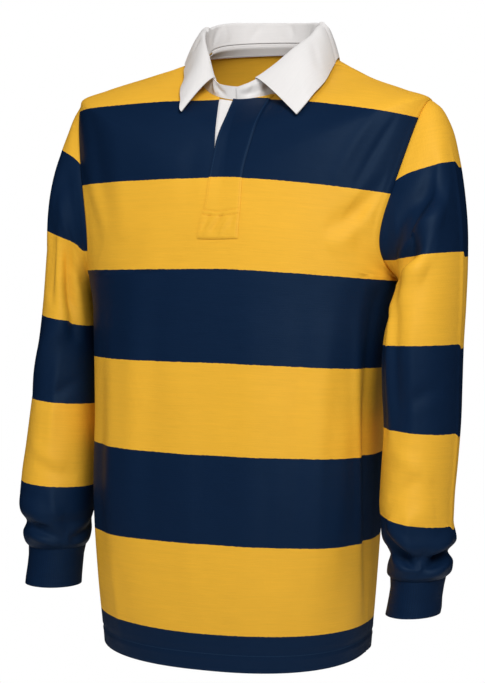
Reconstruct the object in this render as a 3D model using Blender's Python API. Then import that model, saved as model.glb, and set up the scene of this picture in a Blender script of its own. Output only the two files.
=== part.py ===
"""Long-sleeved hooped sports jersey, filled out as if worn, with nobody inside.

Metres. +Z is up, the chest faces -Y and the wearer's left is +X.
The origin is the middle of the neck base, level with the tops of the shoulder seams.
Every piece of cloth is a closed wall made from a grid of points on its outer face.
"""

import math
from collections import namedtuple

import bmesh
import bpy
import numpy as np

# Cloth walls
JERSEY_WALL = 0.0014
HEM_WALL = 0.0026
CUFF_WALL = 0.0022
COLLAR_WALL = 0.0013
TAPE_WALL = 0.0010
SEAM_GAP = 0.0003
LAY_GAP = 0.0007

# Grid sizes
BODY_ROWS = 14
ARMHOLE_ROWS = 13
YOKE_ROWS = 6
FRONT_SIDE_COLUMNS = 11
BACK_COLUMNS = 18
SLEEVE_ROWS = 22

# Armhole, in degrees round the torso from the side line at its widest
ARMHOLE_DIP_LEFT = 31.0
ARMHOLE_DIP_RIGHT = 27.0
ARMHOLE_DIP_BACK = 24.0
ARMHOLE_LOW = 0.42

# Levels up the torso, about 0.1 m apart
ARMPIT = 5.0
TIP = 6.4
NECK = 7.5
HEM_TOP = 0.22

# One row per ring round the torso
Ring = namedtuple(
    "Ring",
    "level middle_x half_width side_y side_z front_y front_z back_y back_z boxy ridge tilt"
    " back_flat",
)
RINGS = (
    Ring(0.0, -0.010, 0.173, -0.070, -0.738, -0.208, -0.748, 0.064, -0.744, 2.3, 0.0, 0.003, 1.0),
    Ring(1.0, -0.009, 0.178, -0.070, -0.650, -0.212, -0.652, 0.068, -0.652, 2.5, 0.0, 0.002, 1.0),
    Ring(2.1, -0.008, 0.183, -0.068, -0.540, -0.208, -0.540, 0.070, -0.540, 2.7, 0.0, 0.0, 1.0),
    Ring(3.2, -0.007, 0.186, -0.062, -0.432, -0.199, -0.432, 0.076, -0.432, 2.7, 0.0, 0.0, 1.0),
    Ring(4.0, -0.007, 0.193, -0.055, -0.352, -0.190, -0.352, 0.085, -0.352, 2.7, 0.0, 0.0, 1.0),
    Ring(4.5, -0.006, 0.199, -0.052, -0.306, -0.184, -0.306, 0.091, -0.306, 2.6, 0.0, 0.0, 1.0),
    Ring(5.0, -0.003, 0.211, -0.050, -0.278, -0.178, -0.262, 0.097, -0.262, 2.5, 0.1, 0.0, 1.0),
    Ring(5.7, 0.000, 0.232, -0.047, -0.156, -0.169, -0.204, 0.104, -0.186, 2.3, 0.6, 0.004, 1.0),
    Ring(6.4, 0.000, 0.236, -0.045, -0.0455, -0.154, -0.148, 0.106, -0.112, 2.1, 1.0, 0.0075, 1.0),
    Ring(6.65, 0.000, 0.203, -0.035, -0.030, -0.144, -0.124, 0.103, -0.068, 2.05, 0.95, 0.0080, 0.95),
    Ring(6.95, 0.000, 0.160, -0.022, -0.0145, -0.130, -0.096, 0.098, -0.022, 2.0, 0.8, 0.0070, 0.80),
    Ring(7.25, 0.000, 0.115, -0.009, 0.003, -0.108, -0.070, 0.084, 0.018, 2.0, 0.4, 0.0040, 0.60),
    Ring(7.5, 0.000, 0.080, 0.000, 0.009, -0.088, -0.048, 0.068, 0.042, 2.0, 0.0, 0.003, 0.40),
)

# Slit down the front neck: the x of its two edges at each level, and of the
# free edge and the sewn side of the band that covers it
Slit = namedtuple("Slit", "level right_edge left_edge band_edge band_side")
SLIT = (
    Slit(5.30, -0.0170, -0.0150, -0.0250, 0.0280),
    Slit(5.65, -0.0160, -0.0138, -0.0225, 0.0282),
    Slit(5.90, -0.0150, -0.0125, -0.0175, 0.0288),
    Slit(6.40, -0.0130, -0.0100, -0.0147, 0.0292),
    Slit(6.76, -0.0148, -0.0080, -0.0131, 0.0345),
    Slit(7.12, -0.0205, -0.0056, -0.0102, 0.0390),
    Slit(7.50, -0.0300, -0.0040, -0.0085, 0.0420),
)
SLIT_FOOT = 5.56
BAND_FOOT = 5.45
UNDER_LEFT = 0.010
UNDER_RIGHT = 0.030
BAND_STOP = 0.0012

# One row per section down a sleeve or a cuff: the outer point is on the shoulder
# side and the inner point on the body side. A sleeve's first row stands for the
# armhole, and a cuff's first ring is the last one of its sleeve
Cut = namedtuple("Cut", "place out_x out_y out_z in_x in_y in_z deep")
LEFT_SLEEVE = (
    Cut(0.0, 0.2360, -0.045, -0.0530, 0.2080, -0.050, -0.278, 0.062),
    Cut(0.5, 0.2500, -0.047, -0.0630, 0.2105, -0.056, -0.281, 0.065),
    Cut(1.0, 0.2610, -0.050, -0.0820, 0.2120, -0.062, -0.284, 0.068),
    Cut(2.0, 0.2725, -0.057, -0.120, 0.2110, -0.074, -0.292, 0.073),
    Cut(3.0, 0.2810, -0.066, -0.162, 0.2090, -0.086, -0.301, 0.076),
    Cut(4.0, 0.2875, -0.077, -0.208, 0.2060, -0.097, -0.312, 0.078),
    Cut(5.0, 0.2905, -0.089, -0.255, 0.2030, -0.106, -0.328, 0.077),
    Cut(6.0, 0.2910, -0.099, -0.303, 0.2000, -0.112, -0.350, 0.075),
    Cut(7.0, 0.2900, -0.106, -0.350, 0.1985, -0.114, -0.380, 0.073),
    Cut(8.0, 0.2895, -0.110, -0.398, 0.1990, -0.114, -0.414, 0.071),
    Cut(9.0, 0.2890, -0.114, -0.446, 0.2005, -0.116, -0.452, 0.069),
    Cut(10.0, 0.2870, -0.121, -0.494, 0.1990, -0.123, -0.496, 0.067),
    Cut(11.0, 0.2850, -0.129, -0.536, 0.1985, -0.131, -0.536, 0.064),
    Cut(12.0, 0.2850, -0.134, -0.562, 0.2010, -0.136, -0.560, 0.061),
    Cut(13.0, 0.2900, -0.138, -0.584, 0.2040, -0.140, -0.582, 0.058),
    Cut(14.0, 0.2800, -0.141, -0.599, 0.2150, -0.143, -0.599, 0.049),
    Cut(15.0, 0.2870, -0.143, -0.611, 0.2120, -0.145, -0.612, 0.053),
    Cut(16.0, 0.2860, -0.145, -0.621, 0.2110, -0.147, -0.622, 0.048),
    Cut(17.0, 0.2800, -0.146, -0.627, 0.2150, -0.148, -0.628, 0.041),
)
RIGHT_SLEEVE = (
    Cut(0.0, -0.2360, -0.045, -0.0380, -0.2110, -0.050, -0.278, 0.062),
    Cut(0.5, -0.2450, -0.045, -0.0515, -0.2130, -0.047, -0.280, 0.065),
    Cut(1.0, -0.2525, -0.044, -0.0705, -0.2140, -0.044, -0.282, 0.068),
    Cut(2.0, -0.2640, -0.042, -0.105, -0.2150, -0.040, -0.289, 0.074),
    Cut(3.0, -0.2720, -0.038, -0.147, -0.2150, -0.036, -0.298, 0.078),
    Cut(4.0, -0.2780, -0.036, -0.195, -0.2145, -0.034, -0.309, 0.080),
    Cut(5.0, -0.2830, -0.036, -0.245, -0.2140, -0.034, -0.324, 0.080),
    Cut(6.0, -0.2870, -0.038, -0.295, -0.2130, -0.036, -0.345, 0.079),
    Cut(7.0, -0.2910, -0.044, -0.345, -0.2120, -0.042, -0.372, 0.077),
    Cut(8.0, -0.2950, -0.052, -0.395, -0.2110, -0.050, -0.405, 0.074),
    Cut(9.0, -0.2990, -0.062, -0.445, -0.2100, -0.060, -0.447, 0.071),
    Cut(10.0, -0.3020, -0.073, -0.492, -0.2090, -0.071, -0.491, 0.067),
    Cut(11.0, -0.3040, -0.084, -0.530, -0.2090, -0.082, -0.528, 0.063),
    Cut(12.0, -0.3040, -0.091, -0.555, -0.2090, -0.089, -0.553, 0.060),
    Cut(13.0, -0.3010, -0.095, -0.577, -0.2090, -0.093, -0.576, 0.058),
    Cut(14.0, -0.2920, -0.098, -0.593, -0.2120, -0.096, -0.593, 0.051),
    Cut(15.0, -0.2960, -0.100, -0.606, -0.2110, -0.098, -0.607, 0.054),
    Cut(16.0, -0.2940, -0.102, -0.618, -0.2120, -0.100, -0.619, 0.048),
    Cut(17.0, -0.2890, -0.103, -0.625, -0.2160, -0.101, -0.626, 0.041),
)
LEFT_CUFF = (
    Cut(1.0, 0.2780, -0.1485, -0.638, 0.2160, -0.1505, -0.639, 0.040),
    Cut(2.0, 0.2765, -0.1510, -0.651, 0.2145, -0.1530, -0.652, 0.0395),
    Cut(3.0, 0.2765, -0.1535, -0.663, 0.2125, -0.1555, -0.665, 0.0395),
    Cut(4.0, 0.2755, -0.1550, -0.669, 0.2115, -0.1570, -0.671, 0.0395),
)
RIGHT_CUFF = (
    Cut(1.0, -0.2875, -0.1060, -0.637, -0.2175, -0.1040, -0.638, 0.040),
    Cut(2.0, -0.2880, -0.1090, -0.651, -0.2175, -0.1070, -0.652, 0.0395),
    Cut(3.0, -0.2890, -0.1120, -0.665, -0.2175, -0.1100, -0.667, 0.0395),
    Cut(4.0, -0.2890, -0.1140, -0.673, -0.2170, -0.1120, -0.675, 0.0395),
)
SLEEVE_BLEND = 3.0

# Soft folds in the cloth: from one place to another on a sheet, as shares of
# its height from the first row and of its way round, with height and half width
Fold = namedtuple("Fold", "row turn end_row end_turn height width")
LEFT_SLEEVE_FOLDS = (
    Fold(0.30, 0.36, 0.16, 0.10, 0.007, 0.020),
    Fold(0.20, 0.36, 0.07, 0.14, -0.006, 0.016),
    Fold(0.26, 0.40, 0.58, 0.37, 0.005, 0.016),
    Fold(0.66, 0.12, 0.72, 0.36, 0.004, 0.015),
    Fold(0.60, 0.62, 0.50, 0.82, 0.005, 0.018),
)
RIGHT_SLEEVE_FOLDS = (
    Fold(0.12, 0.25, 0.34, 0.22, -0.006, 0.016),
    Fold(0.30, 0.36, 0.50, 0.10, 0.005, 0.018),
    Fold(0.74, 0.10, 0.80, 0.36, 0.005, 0.016),
    Fold(0.60, 0.62, 0.50, 0.82, 0.005, 0.018),
)
FRONT_FOLDS = (
    Fold(0.42, 1.00, 0.62, 0.86, -0.004, 0.018),
    Fold(0.10, 0.30, 0.36, 0.26, 0.003, 0.022),
    Fold(0.06, 0.80, 0.30, 0.84, 0.003, 0.022),
)
BACK_FOLDS = (
    Fold(0.05, 0.25, 0.34, 0.30, 0.004, 0.024),
    Fold(0.05, 0.62, 0.30, 0.58, -0.004, 0.022),
    Fold(0.40, 0.00, 0.58, 0.16, 0.004, 0.020),
    Fold(0.40, 1.00, 0.58, 0.84, 0.004, 0.020),
)

# Collar: one row per station round the neck, from the wearer's right front
# round the back to the left front. The rise and lean place the fold above the
# neckline, and the edge is a place on the torso, as a level and an angle
Station = namedtuple("Station", "around rise lean edge_level edge_angle lift")
COLLAR = (
    Station(-1.00, 0.017, 0.002, 6.925, -22.0, 0.005),
    Station(-0.95, 0.021, 0.001, 6.925, -23.5, 0.005),
    Station(-0.88, 0.032, -0.002, 7.11, -32.0, 0.004),
    Station(-0.80, 0.041, -0.004, 7.30, -55.0, 0.004),
    Station(-0.68, 0.047, -0.003, 7.33, -80.0, 0.003),
    Station(-0.50, 0.041, 0.000, 7.30, -94.0, 0.003),
    Station(-0.45, 0.0305, 0.000, 7.31, -101.0, 0.003),
    Station(-0.40, 0.030, 0.001, 7.30, -110.0, 0.003),
    Station(-0.25, 0.030, 0.002, 7.24, -135.0, 0.003),
    Station(0.00, 0.0285, 0.003, 7.18, -180.0, 0.003),
    Station(0.25, 0.028, 0.002, 7.24, -225.0, 0.003),
    Station(0.40, 0.028, 0.001, 7.345, -250.0, 0.003),
    Station(0.45, 0.031, 0.000, 7.345, -258.0, 0.003),
    Station(0.50, 0.0455, 0.000, 7.34, -269.0, 0.003),
    Station(0.61, 0.048, 0.000, 7.27, -290.0, 0.003),
    Station(0.72, 0.046, 0.000, 7.06, -313.5, 0.004),
    Station(0.82, 0.035, 0.000, 6.89, -324.5, 0.005),
    Station(0.91, 0.024, 0.001, 6.775, -331.7, 0.005),
    Station(1.00, 0.016, 0.002, 6.75, -334.5, 0.005),
)
STAND_ROWS = 4
LEAF_ROWS = 7
LEAF_START_RIGHT = 1
LEAF_START_LEFT = 2
FOLD_ROLL = 0.011
UNDERLAP = 0.028
TAPE_SHARE = 0.62

# Colours as red, green, blue
GOLD = (0.84, 0.47, 0.045)
WHITE = (0.85, 0.84, 0.82)
NAVY = (0.011, 0.026, 0.065)


def smooth_columns(rows, key):
    """A function that reads every column of a table at any value of its key column."""
    names = rows[0]._fields
    at = np.array([getattr(row, key) for row in rows])
    values = np.array([[getattr(row, name) for name in names] for row in rows])
    step = np.diff(at)
    slope = np.diff(values, axis=0) / step[:, None]
    bend = np.zeros_like(values)
    bend[0] = slope[0]
    bend[-1] = slope[-1]
    for i in range(1, len(at) - 1):
        mixed = (slope[i - 1] * step[i] + slope[i] * step[i - 1]) / (step[i] + step[i - 1])
        turning = slope[i - 1] * slope[i] <= 0
        bend[i] = np.where(turning, 0.0, mixed)

    def read(where):
        where = min(max(where, at[0]), at[-1])
        i = min(int(np.searchsorted(at, where, side="right")) - 1, len(at) - 2)
        t = (where - at[i]) / step[i]
        h = (2 * t**3 - 3 * t**2 + 1, t**3 - 2 * t**2 + t, 3 * t**2 - 2 * t**3, t**3 - t**2)
        mixed = h[0] * values[i] + h[1] * step[i] * bend[i]
        mixed = mixed + h[2] * values[i + 1] + h[3] * step[i] * bend[i + 1]
        return rows[0]._make(mixed)

    return read


ring_at = smooth_columns(RINGS, "level")
slit_at = smooth_columns(SLIT, "level")
station_at = smooth_columns(COLLAR, "around")


def torso_point(level, angle):
    """A point on the torso: angle 0 is the chest, 90 the wearer's left, 180 the back."""
    ring = ring_at(level)
    across = math.sin(math.radians(angle))
    along = math.cos(math.radians(angle))
    power = 2.0 / ring.boxy
    reach = abs(along) ** power
    end_y, end_z = (ring.front_y, ring.front_z) if along > 0 else (ring.back_y, ring.back_z)
    fall = (1 - ring.ridge) * reach + ring.ridge * (1 - abs(across))
    if along < 0:
        fall = fall**ring.back_flat
    return np.array(
        (
            ring.middle_x + math.copysign(abs(across) ** power, across) * ring.half_width,
            ring.side_y + (end_y - ring.side_y) * reach,
            ring.side_z + (end_z - ring.side_z) * fall - ring.tilt * across,
        )
    )


def angle_of(level, x):
    """The angle, near the chest, at which the torso has this x."""
    ring = ring_at(level)
    share = (x - ring.middle_x) / ring.half_width
    return math.degrees(math.asin(math.copysign(abs(share) ** (ring.boxy / 2.0), share)))


def panel_levels():
    """The levels of a panel's rows with the angle from the side line at each."""
    rows = [(0.0, 0.0)]
    for i in range(BODY_ROWS - 1):
        rows.append((HEM_TOP + (ARMPIT - HEM_TOP) * i / (BODY_ROWS - 1), 0.0))
    for i in range(ARMHOLE_ROWS):
        turn = math.pi * i / ARMHOLE_ROWS
        level = ARMPIT + (TIP - ARMPIT) * (1 - math.cos(turn)) / 2
        rows.append((level, math.sin(turn) * (1 + ARMHOLE_LOW * math.cos(turn))))
    for i in range(YOKE_ROWS + 1):
        rows.append((TIP + (NECK - TIP) * i / YOKE_ROWS, 0.0))
    return rows


LEVELS = panel_levels()
ARMPIT_ROW = BODY_ROWS
TIP_ROW = BODY_ROWS + ARMHOLE_ROWS


class Sheet:
    """A grid of points on the outer face of a piece of cloth."""

    def __init__(self, points, closed=False, inside=(0.0, -0.05, -0.3)):
        self.points = np.array(points)
        self.closed = closed
        self.inside = inside
        self.skip = np.zeros(self.points.shape[:2], bool)
        self.normals = self.measure(inside)

    def measure(self, inside):
        """Unit normals that point away from the inside of the garment."""
        p = self.points
        across = np.gradient(p, axis=1)
        if self.closed:
            across = (np.roll(p, -1, axis=1) - np.roll(p, 1, axis=1)) / 2
        along = np.gradient(p, axis=0)
        normal = np.cross(across, along)
        normal /= np.maximum(np.linalg.norm(normal, axis=2), 1e-12)[:, :, None]
        centre = p.mean(axis=1, keepdims=True) if self.closed else np.array(inside)
        if (normal * (p - centre)).sum() < 0:
            normal = -normal
        return normal


def add_folds(sheet, folds):
    """Raises soft ridges and sinks soft troughs along lines on a sheet."""
    points = sheet.points
    rows, columns = points.shape[:2]
    down = np.linspace(0, 1, rows)[:, None]
    around = np.arange(columns)[None, :] / (columns if sheet.closed else columns - 1)
    tall = np.linalg.norm(np.diff(points, axis=0), axis=2).sum(axis=0).mean()
    wide = np.linalg.norm(np.diff(points, axis=1), axis=2).sum(axis=1).mean()
    rise = np.zeros((rows, columns))
    for fold in folds:
        run = np.array(((fold.end_row - fold.row) * tall, (fold.end_turn - fold.turn) * wide))
        length = math.hypot(*run)
        there = np.stack(
            np.broadcast_arrays((down - fold.row) * tall, (around - fold.turn) * wide), axis=2
        )
        along = (there @ run) / length**2
        beside = (there[:, :, 0] * run[1] - there[:, :, 1] * run[0]) / length
        taper = np.clip(np.sin(np.pi * np.clip(along, 0, 1)), 0, 1) ** 0.7
        rise += fold.height * taper * np.exp(-((beside / fold.width) ** 2))
    share = np.minimum(1.0, np.arange(rows) / 2.0) * np.minimum(1.0, np.arange(rows)[::-1] / 2.0)
    if not sheet.closed:
        side = np.minimum(1.0, np.arange(columns) / 2.0)
        share = share[:, None] * side * side[::-1]
    else:
        share = share[:, None]
    sheet.points = points + sheet.normals * (rise * share)[:, :, None]
    sheet.normals = sheet.measure(sheet.inside)


def part_seam(first, first_edge, first_next, second, second_edge, second_next):
    """Two sheets share the normals along a seam and stand half a gap back from it."""
    a, b = first.points, second.points
    apart = a[first_next] - b[second_next]
    apart = apart / np.linalg.norm(apart, axis=-1, keepdims=True)
    normal = first.normals[first_edge] + second.normals[second_edge]
    normal = normal / np.linalg.norm(normal, axis=-1, keepdims=True)
    a[first_edge] = a[first_edge] + apart * SEAM_GAP / 2
    b[second_edge] = b[second_edge] - apart * SEAM_GAP / 2
    first.normals[first_edge] = normal
    second.normals[second_edge] = normal


def part_corner(sleeve, turn, front, back, front_place, back_place, step):
    """Where a sleeve meets the front and the back at once, it stands back from both."""
    row, column = front_place
    apart = sleeve.points[1, turn] - front.points[row + step, column]
    apart = apart / np.linalg.norm(apart)
    sleeve.points[0, turn] = sleeve.points[0, turn] + apart * SEAM_GAP
    normal = sleeve.normals[0, turn] + front.normals[front_place] + back.normals[back_place]
    normal = normal / np.linalg.norm(normal)
    sleeve.normals[0, turn] = normal
    front.normals[front_place] = normal
    back.normals[back_place] = normal


def wall(name, sheet, thickness, colour, roughness):
    """A closed solid: the sheet, the same sheet moved inwards, and the rim between them."""
    rows, columns = sheet.points.shape[:2]
    depth = np.broadcast_to(np.asarray(thickness, float), (rows,))
    inner = sheet.points - sheet.normals * depth[:, None, None]
    count = rows * columns
    corners = np.concatenate([sheet.points.reshape(-1, 3), inner.reshape(-1, 3)])
    quads = []
    for r in range(rows - 1):
        for c in range(columns if sheet.closed else columns - 1):
            if not sheet.skip[r, c]:
                d = (c + 1) % columns
                low = r * columns
                high = low + columns
                quads.append((low + c, low + d, high + d, high + c))
    turned = 0.0
    for a, b, c, d in quads:
        facing = np.cross(corners[c] - corners[a], corners[d] - corners[b])
        turned += float(facing @ (corners[a] - corners[a + count]))
    if turned < 0:
        quads = [quad[::-1] for quad in quads]
    edges = {}
    for quad in quads:
        for start, end in zip(quad, quad[1:] + quad[:1]):
            edges[(start, end)] = True
    faces = list(quads)
    faces += [tuple(i + count for i in quad[::-1]) for quad in quads]
    for start, end in edges:
        if (end, start) not in edges:
            faces.append((end, start, start + count, end + count))
    return solid(name, corners, faces, colour, roughness)


def solid(name, corners, faces, colour, roughness):
    """A named mesh object with its own material and only the corners that it uses."""
    used = sorted({i for face in faces for i in face})
    place = {old: new for new, old in enumerate(used)}
    mesh = bpy.data.meshes.new(name)
    mesh.from_pydata(
        [tuple(map(float, corners[i])) for i in used],
        [],
        [tuple(place[i] for i in face) for face in faces],
    )
    work = bmesh.new()
    work.from_mesh(mesh)
    bmesh.ops.triangulate(work, faces=work.faces[:])
    work.to_mesh(mesh)
    work.free()
    mesh.polygons.foreach_set("use_smooth", [True] * len(mesh.polygons))
    mesh.update()
    material = bpy.data.materials.new(name + "_cloth")
    material.use_nodes = True
    shader = material.node_tree.nodes["Principled BSDF"]
    shader.inputs["Base Color"].default_value = (*colour, 1.0)
    shader.inputs["Roughness"].default_value = roughness
    shader.inputs["Metallic"].default_value = 0.0
    mesh.materials.append(material)
    thing = bpy.data.objects.new(name, mesh)
    bpy.context.scene.collection.objects.link(thing)
    return thing


def front_sheet():
    """The front panel with the slit at the neck left out of its grid."""
    side = FRONT_SIDE_COLUMNS
    grid = []
    for level, open_share in LEVELS:
        right = -90.0 + ARMHOLE_DIP_RIGHT * open_share
        left = 90.0 - ARMHOLE_DIP_LEFT * open_share
        slit = slit_at(level)
        low = angle_of(level, slit.right_edge)
        high = angle_of(level, slit.left_edge)
        angles = [right + (low - right) * i / side for i in range(side + 1)]
        angles += [high + (left - high) * i / side for i in range(side + 1)]
        grid.append([torso_point(level, angle) for angle in angles])
    sheet = Sheet(grid)
    for r, (level, _) in enumerate(LEVELS):
        sheet.skip[r, side] = level >= SLIT_FOOT - 1e-6
    return sheet


def back_sheet():
    """The back panel, from the wearer's left side round to the right."""
    grid = []
    for level, open_share in LEVELS:
        edge = 90.0 + ARMHOLE_DIP_BACK * open_share
        sweep = 360.0 - 2 * edge
        angles = [edge + sweep * i / BACK_COLUMNS for i in range(BACK_COLUMNS + 1)]
        grid.append([torso_point(level, angle) for angle in angles])
    return Sheet(grid)


def armhole(front, back, left):
    """The points round one armhole, from the shoulder tip down the front and up the back."""
    front_column, back_column = (-1, 0) if left else (0, -1)
    down = front.points[ARMPIT_ROW : TIP_ROW + 1, front_column][::-1]
    up = back.points[ARMPIT_ROW : TIP_ROW + 1, back_column]
    return np.concatenate([down, up[1:-1]])


def cut_ring(cut, count):
    """The points round one section of a sleeve or cuff."""
    outer = np.array((cut.out_x, cut.out_y, cut.out_z))
    inner = np.array((cut.in_x, cut.in_y, cut.in_z))
    turns = np.arange(count) * 2 * math.pi / count
    middle = (outer + inner) / 2
    half = (outer - inner) / 2
    forward = np.array((0.0, -cut.deep, 0.0))
    return middle + np.cos(turns)[:, None] * half + np.sin(turns)[:, None] * forward


def sleeve_sheet(loop, cuts):
    """A sleeve that starts as the armhole and turns into the rings of its table."""
    read = smooth_columns(cuts, "place")
    last = cuts[-1].place
    start = cut_ring(cuts[0], len(loop))
    grid = []
    for i in range(SLEEVE_ROWS + 1):
        place = last * i / SLEEVE_ROWS
        share = max(0.0, 1.0 - place / SLEEVE_BLEND)
        grid.append(cut_ring(read(place), len(loop)) + (loop - start) * share**1.5)
    return Sheet(grid, closed=True)


def cuff_sheet(sleeve, cuts):
    """A cuff that is sewn to the last ring of its sleeve."""
    seam = sleeve.points[-1]
    rings = [cut_ring(cut, len(seam)) for cut in cuts]
    down = rings[0] - seam
    down /= np.linalg.norm(down, axis=1)[:, None]
    return Sheet([seam + down * SEAM_GAP] + rings, closed=True)


def neckline(front, back):
    """The neckline points, from the wearer's right of the slit round the back to its left."""
    side = FRONT_SIDE_COLUMNS
    right = front.points[-1, : side + 1][::-1]
    behind = back.points[-1, ::-1]
    left = front.points[-1, side + 1 :][::-1]
    return np.concatenate([right, behind[1:-1], left])


def collar_base(front, back):
    """The foot of the collar, and how far round the neck each of its points is.

    It follows the neckline, and at the wearer's right front it runs on over the
    white band that lies under the slit.
    """
    side = FRONT_SIDE_COLUMNS
    line = neckline(front, back)
    around = [-1 + 0.5 * i / side for i in range(side + 1)]
    around += [-0.5 + i / BACK_COLUMNS for i in range(1, BACK_COLUMNS)]
    around += [0.5 + 0.5 * i / side for i in range(side + 1)]
    start = slit_at(NECK).right_edge
    lap = []
    for share in (1.0, 0.5):
        point = torso_point(NECK, angle_of(NECK, start + UNDERLAP * share))
        lap.append(point + np.array((0.0, 0.0026 * share, 0.0)))
    return [-1.0, -1.0] + around, np.concatenate([lap, line])


def collar_folds(around, base):
    """The fold line of the collar above the neckline."""
    folds = []
    for place, point in zip(around, base):
        station = station_at(place)
        out = np.array((point[0], point[1] + 0.010, 0.0))
        out /= np.linalg.norm(out)
        folds.append(point + out * station.lean + np.array((0, 0, station.rise)))
    return np.array(folds)


def stand_sheet(base, folds):
    """The standing part of the collar, between the neckline and the fold."""
    shares = [i / STAND_ROWS for i in range(STAND_ROWS + 1)]
    lift = np.array((0.0, 0.0, SEAM_GAP))
    grid = [base + (folds - base) * share + lift * (1 - share) for share in shares]
    return Sheet(grid, inside=(0, 0, 0.02))


def surface_out(level, angle):
    """The outward direction of the torso at a place on it."""
    here = torso_point(level, angle)
    up = torso_point(level - 0.02, angle) - here
    side = torso_point(level, angle + 1.0) - here
    normal = np.cross(up, side)
    normal /= np.linalg.norm(normal)
    return normal if normal @ (here - np.array((0, -0.03, -0.25))) > 0 else -normal


def leaf_sheet(around, folds):
    """The turned-down part of the collar, from over the fold to its edge on the shoulders."""
    grid = []
    for i in range(LEAF_ROWS + 1):
        t = i / LEAF_ROWS
        row = []
        for place, fold in list(zip(around, folds))[LEAF_START_RIGHT + 2 : -LEAF_START_LEFT]:
            station = station_at(place)
            edge = torso_point(station.edge_level, station.edge_angle)
            lift = station.lift + COLLAR_WALL
            edge = edge + surface_out(station.edge_level, station.edge_angle) * lift
            start = fold + np.array((0, 0, COLLAR_WALL + 2 * LAY_GAP))
            out = edge - start
            out[2] = 0
            out /= np.linalg.norm(out)
            pull = start + out * FOLD_ROLL
            row.append((1 - t) ** 2 * start + 2 * t * (1 - t) * pull + t**2 * edge)
        grid.append(row)
    return Sheet(grid, inside=(0, 0, -0.05))


def on_row(sheet, row, x):
    """The point and the outward direction at this x on one row of the front panel."""
    line = sheet.points[row]
    out = sheet.normals[row]
    point = np.array([np.interp(x, line[:, 0], line[:, k]) for k in range(3)])
    normal = np.array([np.interp(x, line[:, 0], out[:, k]) for k in range(3)])
    return point, normal / np.linalg.norm(normal)


def band_sheet(front, lift, foot, span, columns):
    """A band down the neck slit, at a distance from the outer face of the front panel."""
    grid = []
    for row, (level, _) in enumerate(LEVELS):
        if level < foot:
            continue
        start, end = span(slit_at(level))
        line = []
        for j in range(columns + 1):
            point, normal = on_row(front, row, start + (end - start) * j / columns)
            line.append(point + normal * lift)
        grid.append(line)
    top, below = np.array(grid[-1]), np.array(grid[-2])
    down = (below - top) / np.linalg.norm(below - top, axis=1)[:, None]
    grid[-1] = top + down * BAND_STOP
    return Sheet(grid)


def upper_span(slit):
    return slit.band_edge, slit.band_side


def under_span(slit):
    return slit.band_edge - UNDER_RIGHT, slit.band_edge + UNDER_LEFT


def tape_sheet(back):
    """The tape inside the back neck, over the seam of the collar."""
    columns = slice(3, BACK_COLUMNS - 2)
    top = back.points[-1, columns]
    low = top + (back.points[-2, columns] - top) * TAPE_SHARE
    inward = back.normals[-1, columns] + back.normals[-2, columns]
    inward /= -np.linalg.norm(inward, axis=1)[:, None]
    step = inward * (JERSEY_WALL + 2 * LAY_GAP)
    return Sheet([low + step, (low + top) / 2 + step, top + step])


def main():
    for old in list(bpy.data.objects):
        bpy.data.objects.remove(old, do_unlink=True)

    front = front_sheet()
    back = back_sheet()
    add_folds(front, FRONT_FOLDS)
    add_folds(back, BACK_FOLDS)
    loops = {left: armhole(front, back, left) for left in (True, False)}
    sleeves = {
        True: sleeve_sheet(loops[True], LEFT_SLEEVE),
        False: sleeve_sheet(loops[False], RIGHT_SLEEVE),
    }
    add_folds(sleeves[True], LEFT_SLEEVE_FOLDS)
    add_folds(sleeves[False], RIGHT_SLEEVE_FOLDS)
    around, base = collar_base(front, back)
    folds = collar_folds(around, base)
    stand = stand_sheet(base, folds)
    leaf = leaf_sheet(around, folds)
    tape = tape_sheet(back)

    body = slice(0, ARMPIT_ROW + 1)
    yoke = slice(TIP_ROW, len(LEVELS))
    span = TIP_ROW - ARMPIT_ROW
    down = np.arange(TIP_ROW - 1, ARMPIT_ROW, -1)
    up = down[::-1]
    forward = np.arange(1, span)
    rear = np.arange(span + 1, 2 * span)
    for left in (True, False):
        edge, after = (-1, -2) if left else (0, 1)
        other, beyond = (0, 1) if left else (-1, -2)
        sleeve = sleeves[left]
        part_corner(sleeve, 0, front, back, (TIP_ROW, edge), (TIP_ROW, other), 1)
        part_corner(sleeve, span, front, back, (ARMPIT_ROW, edge), (ARMPIT_ROW, other), -1)
        for rows in (body, yoke):
            part_seam(
                front, (rows, edge), (rows, after), back, (rows, other), (rows, beyond)
            )
        part_seam(front, (down, edge), (down, after), sleeve, (0, forward), (1, forward))
        part_seam(back, (up, other), (up, beyond), sleeve, (0, rear), (1, rear))

    depth = [HEM_WALL if level <= HEM_TOP else JERSEY_WALL for level, _ in LEVELS]
    wall("front_panel", front, depth, GOLD, 0.85)
    wall("back_panel", back, depth, GOLD, 0.85)
    wall("sleeve_left", sleeves[True], JERSEY_WALL, GOLD, 0.85)
    wall("sleeve_right", sleeves[False], JERSEY_WALL, GOLD, 0.85)
    for name, left, cuts in (("cuff_left", True, LEFT_CUFF), ("cuff_right", False, RIGHT_CUFF)):
        wall(name, cuff_sheet(sleeves[left], cuts), CUFF_WALL, NAVY, 0.9)
    wall("collar_stand", stand, COLLAR_WALL, WHITE, 0.8)
    wall("collar_leaf", leaf, COLLAR_WALL, WHITE, 0.8)
    wall("neck_tape", tape, TAPE_WALL, WHITE, 0.8)
    upper = band_sheet(front, LAY_GAP + JERSEY_WALL, BAND_FOOT, upper_span, 5)
    under = band_sheet(front, -JERSEY_WALL - LAY_GAP, SLIT_FOOT, under_span, 5)
    wall("placket_upper", upper, JERSEY_WALL, NAVY, 0.85)
    wall("placket_under", under, TAPE_WALL, WHITE, 0.8)


main()
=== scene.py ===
"""Hooped sports jersey: the cloth, creases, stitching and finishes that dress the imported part.

Each cloth piece is rebuilt from the sizes of its solid on a finer grid, and carries a map
in metres, round the garment and up through its hoops. The chest faces -Y.
"""

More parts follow.
